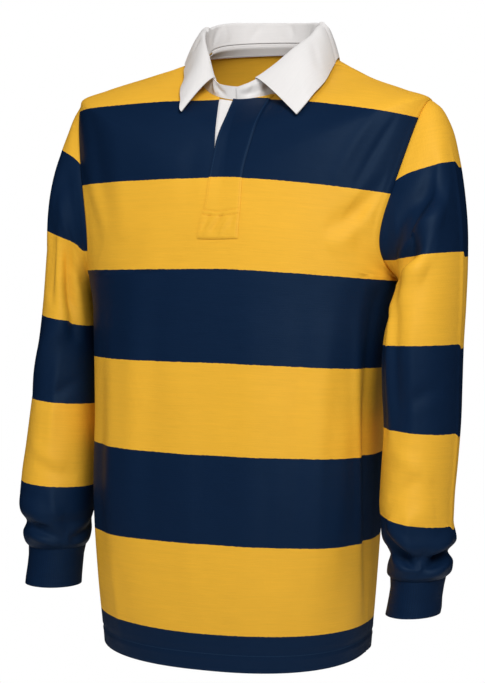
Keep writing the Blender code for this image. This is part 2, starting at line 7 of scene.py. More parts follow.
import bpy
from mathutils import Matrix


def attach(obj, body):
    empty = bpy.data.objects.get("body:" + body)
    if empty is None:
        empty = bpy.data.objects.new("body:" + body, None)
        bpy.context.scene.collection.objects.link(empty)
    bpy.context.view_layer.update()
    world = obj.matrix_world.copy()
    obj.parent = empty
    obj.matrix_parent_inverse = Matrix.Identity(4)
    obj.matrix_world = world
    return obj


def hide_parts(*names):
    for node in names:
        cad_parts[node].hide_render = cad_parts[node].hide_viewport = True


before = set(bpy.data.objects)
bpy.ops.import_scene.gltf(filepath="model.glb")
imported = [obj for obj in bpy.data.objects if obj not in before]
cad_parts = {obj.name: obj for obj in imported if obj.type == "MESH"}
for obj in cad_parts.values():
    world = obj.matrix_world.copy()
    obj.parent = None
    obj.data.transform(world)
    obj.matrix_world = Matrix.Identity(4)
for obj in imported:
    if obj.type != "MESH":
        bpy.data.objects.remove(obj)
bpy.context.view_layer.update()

import math
from collections import namedtuple

import bpy
import numpy as np
from mathutils import Vector

bl_info = {
    "name": "Hooped sports jersey",
    "version": (1, 0, 0),
    "blender": (4, 5, 0),
    "location": "3D View > Sidebar > Jersey",
    "description": "Dresses the packed jersey with knitted cloth, creases, stitching and a studio",
    "category": "Add Mesh",
}


def table(kind, *rows):
    """The rows of a table, each as one kind of named tuple."""
    return [kind(*row) for row in rows]


# Cloth walls and seams
JERSEY_WALL = 0.0014
HEM_WALL = 0.0026
CUFF_WALL = 0.0022
COLLAR_WALL = 0.0013
TAPE_WALL = 0.0010
ALLOWANCE_WALL = 0.0009
SEAM_GAP = 0.0003
LAY_GAP = 0.0007

# Grid of the solids, and how many rows of fine cloth stand for one of theirs
BODY_ROWS = 14
ARMHOLE_ROWS = 13
YOKE_ROWS = 6
FRONT_SIDE_COLUMNS = 11
BACK_COLUMNS = 18
SLEEVE_ROWS = 22
FINE = 6

# Armhole, in degrees round the torso from the side line at its widest
ARMHOLE_DIP_LEFT = 31.0
ARMHOLE_DIP_RIGHT = 27.0
ARMHOLE_DIP_BACK = 24.0
ARMHOLE_LOW = 0.42

# Levels up the torso, about 0.1 m apart
ARMPIT = 5.0
TIP = 6.4
NECK = 7.5
HEM_TOP = 0.22

# One row per ring round the torso
Ring = namedtuple(
    "Ring",
    "level middle_x half_width side_y side_z front_y front_z back_y back_z boxy ridge tilt"
    " back_flat",
)
RINGS = table(
    Ring,
    (0.0, -0.010, 0.173, -0.070, -0.738, -0.208, -0.748, 0.064, -0.744, 2.3, 0.0, 0.003, 1.0),
    (1.0, -0.009, 0.178, -0.070, -0.650, -0.212, -0.652, 0.068, -0.652, 2.5, 0.0, 0.002, 1.0),
    (2.1, -0.008, 0.183, -0.068, -0.540, -0.208, -0.540, 0.070, -0.540, 2.7, 0.0, 0.0, 1.0),
    (3.2, -0.007, 0.186, -0.062, -0.432, -0.199, -0.432, 0.076, -0.432, 2.7, 0.0, 0.0, 1.0),
    (4.0, -0.007, 0.193, -0.055, -0.352, -0.190, -0.352, 0.085, -0.352, 2.7, 0.0, 0.0, 1.0),
    (4.5, -0.006, 0.199, -0.052, -0.306, -0.184, -0.306, 0.091, -0.306, 2.6, 0.0, 0.0, 1.0),
    (5.0, -0.003, 0.211, -0.050, -0.278, -0.178, -0.262, 0.097, -0.262, 2.5, 0.1, 0.0, 1.0),
    (5.7, 0.000, 0.232, -0.047, -0.156, -0.169, -0.204, 0.104, -0.186, 2.3, 0.6, 0.004, 1.0),
    (6.4, 0.000, 0.236, -0.045, -0.0455, -0.154, -0.148, 0.106, -0.112, 2.1, 1.0, 0.0075, 1.0),
    (6.65, 0.000, 0.203, -0.035, -0.030, -0.144, -0.124, 0.103, -0.068, 2.05, 0.95, 0.0080, 0.95),
    (6.95, 0.000, 0.160, -0.022, -0.0145, -0.130, -0.096, 0.098, -0.022, 2.0, 0.8, 0.0070, 0.80),
    (7.25, 0.000, 0.115, -0.009, 0.003, -0.108, -0.070, 0.084, 0.018, 2.0, 0.4, 0.0040, 0.60),
    (7.5, 0.000, 0.080, 0.000, 0.009, -0.088, -0.048, 0.068, 0.042, 2.0, 0.0, 0.003, 0.40),
)

# Slit down the front neck: the x of its two edges at each level, and of the
# free edge and the sewn side of the band that covers it
Slit = namedtuple("Slit", "level right_edge left_edge band_edge band_side")
SLIT = table(
    Slit,
    (5.30, -0.0170, -0.0150, -0.0250, 0.0280),
    (5.65, -0.0160, -0.0138, -0.0225, 0.0282),
    (5.90, -0.0150, -0.0125, -0.0175, 0.0288),
    (6.40, -0.0130, -0.0100, -0.0147, 0.0292),
    (6.76, -0.0148, -0.0080, -0.0131, 0.0345),
    (7.12, -0.0205, -0.0056, -0.0102, 0.0390),
    (7.50, -0.0300, -0.0040, -0.0085, 0.0420),
)
SLIT_FOOT = 5.56
BAND_FOOT = 5.43
UNDER_LEFT = 0.010
UNDER_RIGHT = 0.030
BAND_STOP = 0.0006
BAND_STEP = 0.012
UPPER_COLUMNS = 30
UNDER_COLUMNS = 20

# The upper band's height over the panel: where it is sewn down, over what width from
# its sewn side and levels from its foot it rises, and the stitched lines of its box
SEWN_LIFT = 0.0008
SEWN_SIDE = 0.0035
SEWN_FOOT = 0.035
LEAST_LIFT = 0.0007
THINNEST_BAND = 0.0004
BOX_LINES = (5.845, 5.775)
BOX_DIP = 0.00055
BOX_WIDTH = 0.016
SIDE_LINES = (0.045, 0.960)
SIDE_LINE_LEVELS = (5.47, 7.45)
BOX_LINE_SHARES = (0.05, 0.95)

# One row per section down a sleeve or a cuff: the outer point is on the shoulder
# side and the inner point on the body side. A sleeve's first row stands for the
# armhole, and a cuff's first ring is the last one of its sleeve
Cut = namedtuple("Cut", "place out_x out_y out_z in_x in_y in_z deep")
LEFT_SLEEVE = table(
    Cut,
    (0.0, 0.2360, -0.045, -0.0530, 0.2080, -0.050, -0.278, 0.062),
    (0.5, 0.2500, -0.047, -0.0630, 0.2105, -0.056, -0.281, 0.065),
    (1.0, 0.2610, -0.050, -0.0820, 0.2120, -0.062, -0.284, 0.068),
    (2.0, 0.2725, -0.057, -0.120, 0.2110, -0.074, -0.292, 0.073),
    (3.0, 0.2810, -0.066, -0.162, 0.2090, -0.086, -0.301, 0.076),
    (4.0, 0.2875, -0.077, -0.208, 0.2060, -0.097, -0.312, 0.078),
    (5.0, 0.2905, -0.089, -0.255, 0.2030, -0.106, -0.328, 0.077),
    (6.0, 0.2910, -0.099, -0.303, 0.2000, -0.112, -0.350, 0.075),
    (7.0, 0.2900, -0.106, -0.350, 0.1985, -0.114, -0.380, 0.073),
    (8.0, 0.2895, -0.110, -0.398, 0.1990, -0.114, -0.414, 0.071),
    (9.0, 0.2890, -0.114, -0.446, 0.2005, -0.116, -0.452, 0.069),
    (10.0, 0.2870, -0.121, -0.494, 0.1990, -0.123, -0.496, 0.067),
    (11.0, 0.2850, -0.129, -0.536, 0.1985, -0.131, -0.536, 0.064),
    (12.0, 0.2850, -0.134, -0.562, 0.2010, -0.136, -0.560, 0.061),
    (13.0, 0.2900, -0.138, -0.584, 0.2040, -0.140, -0.582, 0.058),
    (14.0, 0.2800, -0.141, -0.599, 0.2150, -0.143, -0.599, 0.049),
    (15.0, 0.2870, -0.143, -0.611, 0.2120, -0.145, -0.612, 0.053),
    (16.0, 0.2860, -0.145, -0.621, 0.2110, -0.147, -0.622, 0.048),
    (17.0, 0.2800, -0.146, -0.627, 0.2150, -0.148, -0.628, 0.041),
)
RIGHT_SLEEVE = table(
    Cut,
    (0.0, -0.2360, -0.045, -0.0380, -0.2110, -0.050, -0.278, 0.062),
    (0.5, -0.2450, -0.045, -0.0515, -0.2130, -0.047, -0.280, 0.065),
    (1.0, -0.2525, -0.044, -0.0705, -0.2140, -0.044, -0.282, 0.068),
    (2.0, -0.2640, -0.042, -0.105, -0.2150, -0.040, -0.289, 0.074),
    (3.0, -0.2720, -0.038, -0.147, -0.2150, -0.036, -0.298, 0.078),
    (4.0, -0.2780, -0.036, -0.195, -0.2145, -0.034, -0.309, 0.080),
    (5.0, -0.2830, -0.036, -0.245, -0.2140, -0.034, -0.324, 0.080),
    (6.0, -0.2870, -0.038, -0.295, -0.2130, -0.036, -0.345, 0.079),
    (7.0, -0.2910, -0.044, -0.345, -0.2120, -0.042, -0.372, 0.077),
    (8.0, -0.2950, -0.052, -0.395, -0.2110, -0.050, -0.405, 0.074),
    (9.0, -0.2990, -0.062, -0.445, -0.2100, -0.060, -0.447, 0.071),
    (10.0, -0.3020, -0.073, -0.492, -0.2090, -0.071, -0.491, 0.067),
    (11.0, -0.3040, -0.084, -0.530, -0.2090, -0.082, -0.528, 0.063),
    (12.0, -0.3040, -0.091, -0.555, -0.2090, -0.089, -0.553, 0.060),
    (13.0, -0.3010, -0.095, -0.577, -0.2090, -0.093, -0.576, 0.058),
    (14.0, -0.2920, -0.098, -0.593, -0.2120, -0.096, -0.593, 0.051),
    (15.0, -0.2960, -0.100, -0.606, -0.2110, -0.098, -0.607, 0.054),
    (16.0, -0.2940, -0.102, -0.618, -0.2120, -0.100, -0.619, 0.048),
    (17.0, -0.2890, -0.103, -0.625, -0.2160, -0.101, -0.626, 0.041),
)
LEFT_CUFF = table(
    Cut,
    (1.0, 0.2780, -0.1485, -0.638, 0.2160, -0.1505, -0.639, 0.040),
    (2.0, 0.2765, -0.1510, -0.651, 0.2145, -0.1530, -0.652, 0.0395),
    (3.0, 0.2765, -0.1535, -0.663, 0.2125, -0.1555, -0.665, 0.0395),
    (4.0, 0.2755, -0.1550, -0.669, 0.2115, -0.1570, -0.671, 0.0395),
)
RIGHT_CUFF = table(
    Cut,
    (1.0, -0.2875, -0.1060, -0.637, -0.2175, -0.1040, -0.638, 0.040),
    (2.0, -0.2880, -0.1090, -0.651, -0.2175, -0.1070, -0.652, 0.0395),
    (3.0, -0.2890, -0.1120, -0.665, -0.2175, -0.1100, -0.667, 0.0395),
    (4.0, -0.2890, -0.1140, -0.673, -0.2170, -0.1120, -0.675, 0.0395),
)
SLEEVE_BLEND = 3.0
BLEND_POWER = 1.5
CUFF_ROWS = 26

# Collar: one row per station round the neck, from the wearer's right front
# round the back to the left front. The rise and lean place the fold above the
# neckline, and the edge is a place on the torso, as a level and an angle
Station = namedtuple("Station", "around rise lean edge_level edge_angle lift")
COLLAR = table(
    Station,
    (-1.00, 0.017, 0.002, 6.925, -22.0, 0.005),
    (-0.95, 0.021, 0.001, 6.925, -23.5, 0.005),
    (-0.88, 0.032, -0.002, 7.10, -33.2, 0.004),
    (-0.80, 0.041, -0.004, 7.30, -55.0, 0.004),
    (-0.68, 0.047, -0.003, 7.33, -80.0, 0.003),
    (-0.50, 0.041, 0.000, 7.30, -94.0, 0.003),
    (-0.45, 0.0305, 0.000, 7.31, -101.0, 0.003),
    (-0.40, 0.030, 0.001, 7.30, -110.0, 0.003),
    (-0.25, 0.030, 0.002, 7.24, -135.0, 0.003),
    (0.00, 0.0285, 0.003, 7.18, -180.0, 0.003),
    (0.25, 0.028, 0.002, 7.24, -225.0, 0.003),
    (0.40, 0.028, 0.001, 7.345, -250.0, 0.003),
    (0.45, 0.031, 0.000, 7.345, -258.0, 0.003),
    (0.50, 0.0455, 0.000, 7.34, -269.0, 0.003),
    (0.61, 0.048, 0.000, 7.27, -290.0, 0.003),
    (0.72, 0.046, 0.000, 7.06, -313.5, 0.004),
    (0.82, 0.035, 0.000, 6.89, -324.5, 0.005),
    (0.91, 0.024, 0.001, 6.775, -331.7, 0.005),
    (1.00, 0.016, 0.002, 6.75, -334.5, 0.005),
)
STAND_ROWS = 12
LEAF_ROWS = 40
LEAF_START_RIGHT = 1
LEAF_START_LEFT = 2
FOLD_ROLL = 0.011
UNDERLAP = 0.028
TAPE_SHARE = 0.62
TAPE_RISE = 0.0035
TAPE_START = 15
TAPE_ROWS = 6
TAPE_TOP_ROWS = 3
LINING_FOOT = 0.0039
LINING_ROWS = 14
ROLL_ROWS = 6
UNDERLAP_BACK = 0.0026
NECK_MIDDLE = -0.010

# Cloth raised beside a seam: how high, how far from the seam and how wide, and the
# rows at the stitched line of the hem with the rise of each
SEAM_PUFF = 0.0007
PUFF_PLACE = 0.0050
PUFF_WIDTH = 0.0024
TIP_PUFF_LOSS = 0.9
TIP_PUFF_ROWS = 8.0
HEM_LINE = ((0, -0.0009), (-1, 0.0003), (1, 0.0002))

# Hoop edges, counted up from the one above the hem: their heights at the middle of
# the chest, at the wearer's right and left sides, and at the middle of the back
HOOP_POWER = 1.4
HoopEdge = namedtuple("HoopEdge", "number chest right left back")
BODY_HOOPS = table(
    HoopEdge,
    (-1.0, -0.815, -0.805, -0.815, -0.812),
    (0.0, -0.703, -0.695, -0.703, -0.700),
    (1.0, -0.594, -0.592, -0.598, -0.593),
    (2.0, -0.487, -0.481, -0.491, -0.484),
    (3.0, -0.376, -0.373, -0.384, -0.376),
    (4.0, -0.262, -0.263, -0.277, -0.267),
    (5.0, -0.150, -0.153, -0.176, -0.158),
    (6.0, -0.046, -0.054, -0.079, -0.054),
    (7.0, 0.060, 0.050, 0.030, 0.060),
)

# The same on a sleeve: heights on its shoulder side and on its body side, and where
# round it its hoops step down, how much of the step shows there, and the step's
# height at some hoops
SleeveEdge = namedtuple("SleeveEdge", "number outer inner")
LEFT_HOOPS = table(
    SleeveEdge,
    (1.0, -0.678, -0.660),
    (2.0, -0.566, -0.552),
    (3.0, -0.458, -0.450),
    (4.0, -0.352, -0.353),
    (5.0, -0.242, -0.252),
    (6.0, -0.132, -0.156),
    (7.0, -0.022, -0.050),
)
RIGHT_HOOPS = table(
    SleeveEdge,
    (1.0, -0.650, -0.655),
    (2.0, -0.538, -0.546),
    (3.0, -0.430, -0.439),
    (4.0, -0.319, -0.332),
    (5.0, -0.206, -0.231),
    (6.0, -0.100, -0.131),
    (7.0, 0.010, -0.010),
)

HoopStep = namedtuple("HoopStep", "turns shows hoops heights")
LEFT_STEP = HoopStep((0.0, 0.012, 0.034, 0.72, 1.0), (1, 1, 0, 0, 1), (0, 8), (0.006, 0.006))
RIGHT_STEP = HoopStep((0.325, 0.35, 0.5, 0.6), (0, 1, 1, 0), (3, 4, 5, 6), (0, 0.005, 0.008, 0))

# Creases: soft ridges and troughs from one place to another on a sheet, as shares
# of its rows from the first one and of its way round, with the height, the half
# width and how far the line bows to one side, in metres
Crease = namedtuple("Crease", "row turn end_row end_turn height width bow", defaults=(0.0,))
LEFT_SLEEVE_FOLDS = table(
    Crease,
    (0.30, 0.36, 0.16, 0.10, 0.007, 0.020),
    (0.20, 0.36, 0.07, 0.14, -0.006, 0.016),
    (0.26, 0.40, 0.58, 0.37, 0.005, 0.016),
    (0.66, 0.12, 0.72, 0.36, 0.004, 0.015),
    (0.60, 0.62, 0.50, 0.82, 0.005, 0.018),
)
RIGHT_SLEEVE_FOLDS = table(
    Crease,
    (0.12, 0.25, 0.34, 0.22, -0.006, 0.016),
    (0.30, 0.36, 0.50, 0.10, 0.005, 0.018),
    (0.74, 0.10, 0.80, 0.36, 0.005, 0.016),
    (0.60, 0.62, 0.50, 0.82, 0.005, 0.018),
)
FRONT_FOLDS = table(
    Crease,
    (0.42, 1.00, 0.62, 0.86, -0.004, 0.018),
    (0.10, 0.30, 0.36, 0.26, 0.003, 0.022),
    (0.06, 0.80, 0.30, 0.84, 0.003, 0.022),
)
BACK_FOLDS = table(
    Crease,
    (0.05, 0.25, 0.34, 0.30, 0.004, 0.024),
    (0.05, 0.62, 0.30, 0.58, -0.004, 0.022),
    (0.40, 0.00, 0.58, 0.16, 0.004, 0.020),
    (0.40, 1.00, 0.58, 0.84, 0.004, 0.020),
)

# Finer creases that only the dressed cloth has, in the same shares and metres, and
# the distance from a piece's edges over which they fade out
PANEL_FADE = 0.012
SLEEVE_FADE = 0.010
STAND_FADE = 0.003
LEAF_FADE = 0.004
BAND_FADE = 0.002
FRONT_CREASES = table(
    Crease,
    (0.06, 0.945, 0.46, 0.820, 0.0036, 0.009),
    (0.05, 0.985, 0.45, 0.880, -0.0065, 0.012),
    (0.635, 0.955, 0.585, 0.790, -0.0050, 0.011, 0.004),
    (0.605, 0.960, 0.550, 0.800, 0.0030, 0.011, 0.003),
    (0.745, 0.895, 0.640, 0.845, -0.0022, 0.009),
    (0.775, 0.810, 0.660, 0.775, 0.0020, 0.012),
    (0.800, 0.170, 0.590, 0.165, -0.0016, 0.018),
    (0.830, 0.260, 0.560, 0.235, 0.0018, 0.020, 0.003),
    (0.670, 0.050, 0.580, 0.170, 0.0016, 0.016, 0.002),
    (0.640, 0.045, 0.545, 0.150, -0.0014, 0.016),
    (0.870, 0.462, 0.640, 0.452, -0.0016, 0.009),
    (0.620, 0.360, 0.120, 0.340, 0.0026, 0.020, 0.006),
    (0.520, 0.430, 0.100, 0.420, -0.0022, 0.015, -0.005),
    (0.480, 0.560, 0.060, 0.580, 0.0022, 0.018, 0.004),
    (0.450, 0.660, 0.100, 0.680, -0.0024, 0.014, 0.006),
    (0.400, 0.750, 0.040, 0.765, 0.0024, 0.015, -0.003),
    (0.500, 0.250, 0.080, 0.215, -0.0024, 0.018),
    (0.350, 0.150, 0.030, 0.140, 0.0024, 0.018, 0.002),
    (0.300, 0.470, 0.050, 0.500, 0.0014, 0.009, 0.003),
    (0.230, 0.620, 0.020, 0.630, -0.0014, 0.009),
    (0.120, 0.280, 0.010, 0.300, 0.0014, 0.010),
)
BACK_CREASES = table(
    Crease,
    (0.550, 0.100, 0.150, 0.160, 0.0030, 0.016),
    (0.600, 0.220, 0.100, 0.260, -0.0030, 0.016, 0.004),
    (0.660, 0.350, 0.120, 0.360, 0.0025, 0.020, -0.006),
    (0.700, 0.500, 0.100, 0.470, -0.0026, 0.020, 0.010),
    (0.620, 0.600, 0.080, 0.620, 0.0030, 0.018),
    (0.580, 0.730, 0.120, 0.720, -0.0030, 0.016, -0.005),
    (0.550, 0.880, 0.100, 0.850, 0.0030, 0.014),
    (0.800, 0.180, 0.820, 0.460, -0.0016, 0.012, 0.006),
    (0.740, 0.860, 0.810, 0.600, -0.0020, 0.010, -0.004),
    (0.660, 0.030, 0.590, 0.150, 0.0030, 0.010),
    (0.630, 0.040, 0.555, 0.140, -0.0028, 0.010),
    (0.660, 0.970, 0.580, 0.840, 0.0030, 0.010, 0.002),
    (0.625, 0.960, 0.545, 0.860, -0.0028, 0.010),
    (0.280, 0.300, 0.030, 0.330, 0.0016, 0.010),
    (0.240, 0.540, 0.020, 0.530, -0.0016, 0.010),
)
LEFT_SLEEVE_CREASES = table(
    Crease,
    (0.110, 0.340, 0.200, 0.150, 0.0026, 0.0055),
    (0.150, 0.330, 0.232, 0.200, -0.0020, 0.0070),
    (0.095, 0.345, 0.200, 0.130, 0.0070, 0.012),
    (0.045, 0.290, 0.175, 0.110, -0.0080, 0.011, 0.004),
    (0.165, 0.370, 0.275, 0.200, 0.0055, 0.010),
    (0.135, 0.385, 0.245, 0.170, -0.0045, 0.011),
    (0.020, 0.210, 0.110, 0.130, -0.0024, 0.009),
    (0.080, 0.405, 0.560, 0.372, -0.0070, 0.009),
    (0.110, 0.372, 0.560, 0.336, 0.0045, 0.009),
    (0.160, 0.338, 0.520, 0.300, -0.0022, 0.009),
    (0.090, 0.050, 0.460, 0.020, 0.0022, 0.0035),
    (0.420, 0.024, 0.860, 0.012, 0.0018, 0.0035),
    (0.500, 0.310, 0.470, 0.110, -0.0024, 0.009, 0.003),
    (0.560, 0.350, 0.610, 0.130, 0.0024, 0.010, 0.003),
    (0.640, 0.330, 0.600, 0.170, -0.0024, 0.008),
    (0.340, 0.250, 0.560, 0.230, 0.0018, 0.010),
    (0.660, 0.230, 0.780, 0.250, 0.0020, 0.009),
    (0.735, 0.385, 0.880, 0.200, -0.0080, 0.009, -0.003),
    (0.765, -0.020, 0.905, 0.215, -0.0080, 0.009, 0.003),
    (0.700, 0.340, 0.830, 0.200, 0.0050, 0.011),
    (0.730, 0.010, 0.840, 0.180, 0.0045, 0.011),
    (0.800, 0.410, 0.920, 0.250, 0.0036, 0.008),
    (0.845, 0.000, 0.940, 0.170, 0.0034, 0.008),
    (0.900, 0.330, 0.935, 0.180, -0.0022, 0.006),
    (0.150, 0.600, 0.260, 0.780, 0.0040, 0.012),
    (0.110, 0.610, 0.210, 0.800, -0.0040, 0.010),
    (0.300, 0.600, 0.360, 0.800, -0.0030, 0.012),
    (0.450, 0.620, 0.500, 0.850, 0.0030, 0.012),
    (0.550, 0.580, 0.520, 0.800, -0.0030, 0.010),
    (0.680, 0.640, 0.640, 0.860, 0.0024, 0.010),
    (0.800, 0.620, 0.880, 0.800, -0.0045, 0.008),
    (0.845, 0.600, 0.920, 0.790, 0.0032, 0.008),
)
RIGHT_SLEEVE_CREASES = table(
    Crease,
    (0.085, 0.300, 0.400, 0.362, -0.0075, 0.011),
    (0.060, 0.235, 0.410, 0.305, 0.0040, 0.014),
    (0.100, 0.345, 0.400, 0.395, 0.0034, 0.010),
    (0.030, 0.220, 0.150, 0.170, -0.0024, 0.008),
    (0.100, 0.120, 0.260, 0.160, 0.0030, 0.012),
    (0.180, 0.200, 0.330, 0.180, -0.0020, 0.009),
    (0.520, 0.190, 0.470, 0.400, -0.0028, 0.009, 0.003),
    (0.580, 0.170, 0.630, 0.360, 0.0028, 0.010),
    (0.660, 0.410, 0.620, 0.220, -0.0024, 0.008),
    (0.400, 0.300, 0.620, 0.290, 0.0020, 0.010, 0.004),
    (0.680, 0.300, 0.800, 0.330, 0.0022, 0.009),
    (0.830, 0.190, 0.905, 0.385, -0.0055, 0.008),
    (0.845, 0.590, 0.912, 0.390, -0.0050, 0.008),
    (0.785, 0.210, 0.860, 0.370, 0.0036, 0.009),
    (0.800, 0.560, 0.865, 0.400, 0.0032, 0.009),
    (0.880, 0.190, 0.945, 0.350, 0.0034, 0.007),
    (0.895, 0.540, 0.945, 0.420, 0.0030, 0.007),
    (0.150, 0.600, 0.260, 0.780, 0.0040, 0.012),
    (0.110, 0.620, 0.210, 0.810, -0.0040, 0.010),
    (0.320, 0.620, 0.370, 0.820, -0.0030, 0.012),
    (0.460, 0.640, 0.500, 0.860, 0.0030, 0.012),
    (0.560, 0.600, 0.530, 0.810, -0.0030, 0.010),
    (0.700, 0.660, 0.650, 0.880, 0.0024, 0.010),
    (0.820, 0.640, 0.890, 0.820, -0.0045, 0.008),
    (0.860, 0.620, 0.925, 0.800, 0.0032, 0.008),
)
STAND_CREASES = table(
    Crease,
    (0.15, 0.975, 0.85, 0.950, -0.0020, 0.0029),
    (0.10, 0.950, 0.90, 0.925, 0.0020, 0.0033, 0.001),
    (0.20, 0.925, 0.80, 0.905, -0.0018, 0.0029),
    (0.35, 0.990, 0.45, 0.910, -0.0016, 0.0020, 0.001),
    (0.70, 0.995, 0.75, 0.900, 0.0016, 0.0024),
    (0.20, 0.030, 0.80, 0.060, -0.0020, 0.0029),
    (0.10, 0.065, 0.90, 0.080, 0.0020, 0.0033),
    (0.30, 0.085, 0.80, 0.105, -0.0018, 0.0029),
)
LEAF_CREASES = table(
    Crease,
    (0.45, 0.200, 0.75, 0.160, -0.0012, 0.0060),
    (0.42, 0.420, 0.60, 0.300, 0.0015, 0.0070),
    (0.42, 0.600, 0.62, 0.700, 0.0015, 0.0070),
    (0.50, 0.830, 0.90, 0.860, -0.0012, 0.0070),
    (0.05, 0.300, 0.24, 0.340, -0.0013, 0.0040),
    (0.06, 0.370, 0.26, 0.350, 0.0013, 0.0045),
    (0.05, 0.430, 0.24, 0.470, -0.0012, 0.0040),
    (0.08, 0.560, 0.27, 0.540, -0.0012, 0.0045),
    (0.05, 0.620, 0.25, 0.650, 0.0012, 0.0040),
)
BAND_CREASES = table(
    Crease,
    (0.02, 0.150, 0.17, 0.420, 0.0014, 0.0026),
    (0.04, 0.330, 0.19, 0.560, -0.0014, 0.0024),
    (0.02, 0.550, 0.15, 0.760, 0.0013, 0.0026, 0.001),
    (0.06, 0.780, 0.17, 0.900, -0.0010, 0.0024),
    (0.06, 0.100, 0.19, 0.230, -0.0011, 0.0024),
)

# One stitch: its length with the gap after it as a share of the stitch, the sides
# of the thread, and the place of each ring and its height in radii of the thread
STITCH_PITCH = 1.28
HEM_THREAD_INSET = 2
TAPE_THREAD_INSET = 3
SIDE_LINE_STEPS = 60
BOX_LINE_STEPS = 20
THREAD_SIDES = 6
STITCH_RINGS = ((0.0, -0.9), (0.16, 0.35), (0.5, 0.6), (0.84, 0.35), (1.0, -0.9))
SMALL_STEP = 0.0004

# Finishes: the pitch of the knitted loops, how far the shade varies, the height of
# the relief, the roughness and the gloss
Finish = namedtuple("Finish", "name pitch tint bump roughness gloss")
JERSEY_FINISH = Finish("hooped_jersey_cloth", 0.0016, 0.07, 0.00018, 0.54, 0.15)
RIB_FINISH = Finish("navy_rib_cloth", 0.0026, 0.12, 0.0004, 0.55, 0.10)
TWILL_FINISH = Finish("white_twill_cloth", 0.0011, 0.035, 0.00012, 0.85, 0.20)
THREAD_FINISH = Finish("sewing_thread", 0.0008, 0.08, 0.00005, 0.6, 0.20)
DYED_SHEEN = (0.55, 0.80, 1.0, 1.0)
# Painted shade in the grooves of a cuff's ribs and a painted highlight on their ridges, as shares
# of the navy
RIB_GROOVE_SHADE = 0.80
RIB_RIDGE_HIGHLIGHT = 1.05
HOOP_WAVER = 0.0012

# Studio: the floor, the light of the surround, the lamps and the camera
FLOOR_RADIUS = 1.6
FLOOR_HEIGHT = -1.25
FLOOR_SIDES = 96
SURROUND_LIGHT = 0.19
LAMP_AIM = (0.0, -0.05, -0.35)
Lamp = namedtuple("Lamp", "name place size watts")
LAMPS = table(
    Lamp,
    ("key_light", (1.10, -1.75, 1.05), 1.2, 44.0),
    ("fill_light", (-1.4, -2.0, 1.1), 1.8, 19.0),
    ("back_light", (-0.6, 2.2, 1.2), 1.8, 26.0),
)
CAMERA_TURN = 20.0
CAMERA_TIP = 2.2
CAMERA_REACH = 2.063
CAMERA_AIM = (0.0, 0.0, -0.357)
CAMERA_SHIFT = 0.0268
CAMERA_SENSOR = 36.0
CAMERA_LENS = 82.0


def smooth_columns(rows, key):
    """A function that reads every column of a table at any value of its key column."""
    names = rows[0]._fields
    at = np.array([getattr(row, key) for row in rows])
    values = np.array([[getattr(row, name) for name in names] for row in rows])
    step = np.diff(at)
    slope = np.diff(values, axis=0) / step[:, None]
    bend = np.zeros_like(values)
    bend[0] = slope[0]
    bend[-1] = slope[-1]
    for i in range(1, len(at) - 1):
        mixed = (slope[i - 1] * step[i] + slope[i] * step[i - 1]) / (step[i] + step[i - 1])
        turning = slope[i - 1] * slope[i] <= 0
        bend[i] = np.where(turning, 0.0, mixed)

    def read(where):
        where = min(max(where, at[0]), at[-1])
        i = min(int(np.searchsorted(at, where, side="right")) - 1, len(at) - 2)
        t = (where - at[i]) / step[i]
        h = (2 * t**3 - 3 * t**2 + 1, t**3 - 2 * t**2 + t, 3 * t**2 - 2 * t**3, t**3 - t**2)
        mixed = h[0] * values[i] + h[1] * step[i] * bend[i]
        mixed = mixed + h[2] * values[i + 1] + h[3] * step[i] * bend[i + 1]
        return rows[0]._make(mixed)

    return read


TORSO_MIDDLE = (0.0, -0.03, -0.25)
ring_at = smooth_columns(RINGS, "level")
slit_at = smooth_columns(SLIT, "level")
station_at = smooth_columns(COLLAR, "around")


def torso_point(level, angle):
    """A point on the torso: angle 0 is the chest, 90 the wearer's left, 180 the back."""
    ring = ring_at(level)
    across = math.sin(math.radians(angle))
    along = math.cos(math.radians(angle))
    power = 2.0 / ring.boxy
    reach = abs(along) ** power
    end_y, end_z = (ring.front_y, ring.front_z) if along > 0 else (ring.back_y, ring.back_z)
    fall = (1 - ring.ridge) * reach + ring.ridge * (1 - abs(across))
    if along < 0:
        fall = fall**ring.back_flat
    return np.array(
        (
            ring.middle_x + math.copysign(abs(across) ** power, across) * ring.half_width,
            ring.side_y + (end_y - ring.side_y) * reach,
            ring.side_z + (end_z - ring.side_z) * fall - ring.tilt * across,
        )
    )


def angle_of(level, x):
    """The angle, near the chest, at which the torso has this x."""
    ring = ring_at(level)
    share = (x - ring.middle_x) / ring.half_width
    return math.degrees(math.asin(math.copysign(abs(share) ** (ring.boxy / 2.0), share)))


def panel_place(row):
    """The level and the share of the armhole's depth at a row of a panel's solid."""
    if row < 1:
        return HEM_TOP * row, 0.0
    if row < BODY_ROWS:
        return HEM_TOP + (ARMPIT - HEM_TOP) * (row - 1) / (BODY_ROWS - 1), 0.0
    if row < BODY_ROWS + ARMHOLE_ROWS:
        turn = math.pi * (row - BODY_ROWS) / ARMHOLE_ROWS
        level = ARMPIT + (TIP - ARMPIT) * (1 - math.cos(turn)) / 2
        return level, math.sin(turn) * (1 + ARMHOLE_LOW * math.cos(turn))
    return TIP + (NECK - TIP) * (row - BODY_ROWS - ARMHOLE_ROWS) / YOKE_ROWS, 0.0


PANEL_ROWS = BODY_ROWS + ARMHOLE_ROWS + YOKE_ROWS
LEVELS = [panel_place(i / FINE) for i in range(PANEL_ROWS * FINE + 1)]
ARMPIT_ROW = BODY_ROWS * FINE
TIP_ROW = (BODY_ROWS + ARMHOLE_ROWS) * FINE
SHARP_ROWS = ((ARMPIT_ROW - 4, ARMPIT_ROW + 9), (TIP_ROW - 9, TIP_ROW + 4))


def ease_rows(normals, first, last):
    """Turns the directions evenly from one row to another, where the grid bends sharply."""
    for row in range(first + 1, last):
        share = (row - first) / (last - first)
        mixed = normals[first] * (1 - share) + normals[last] * share
        normals[row] = mixed / np.linalg.norm(mixed, axis=1)[:, None]


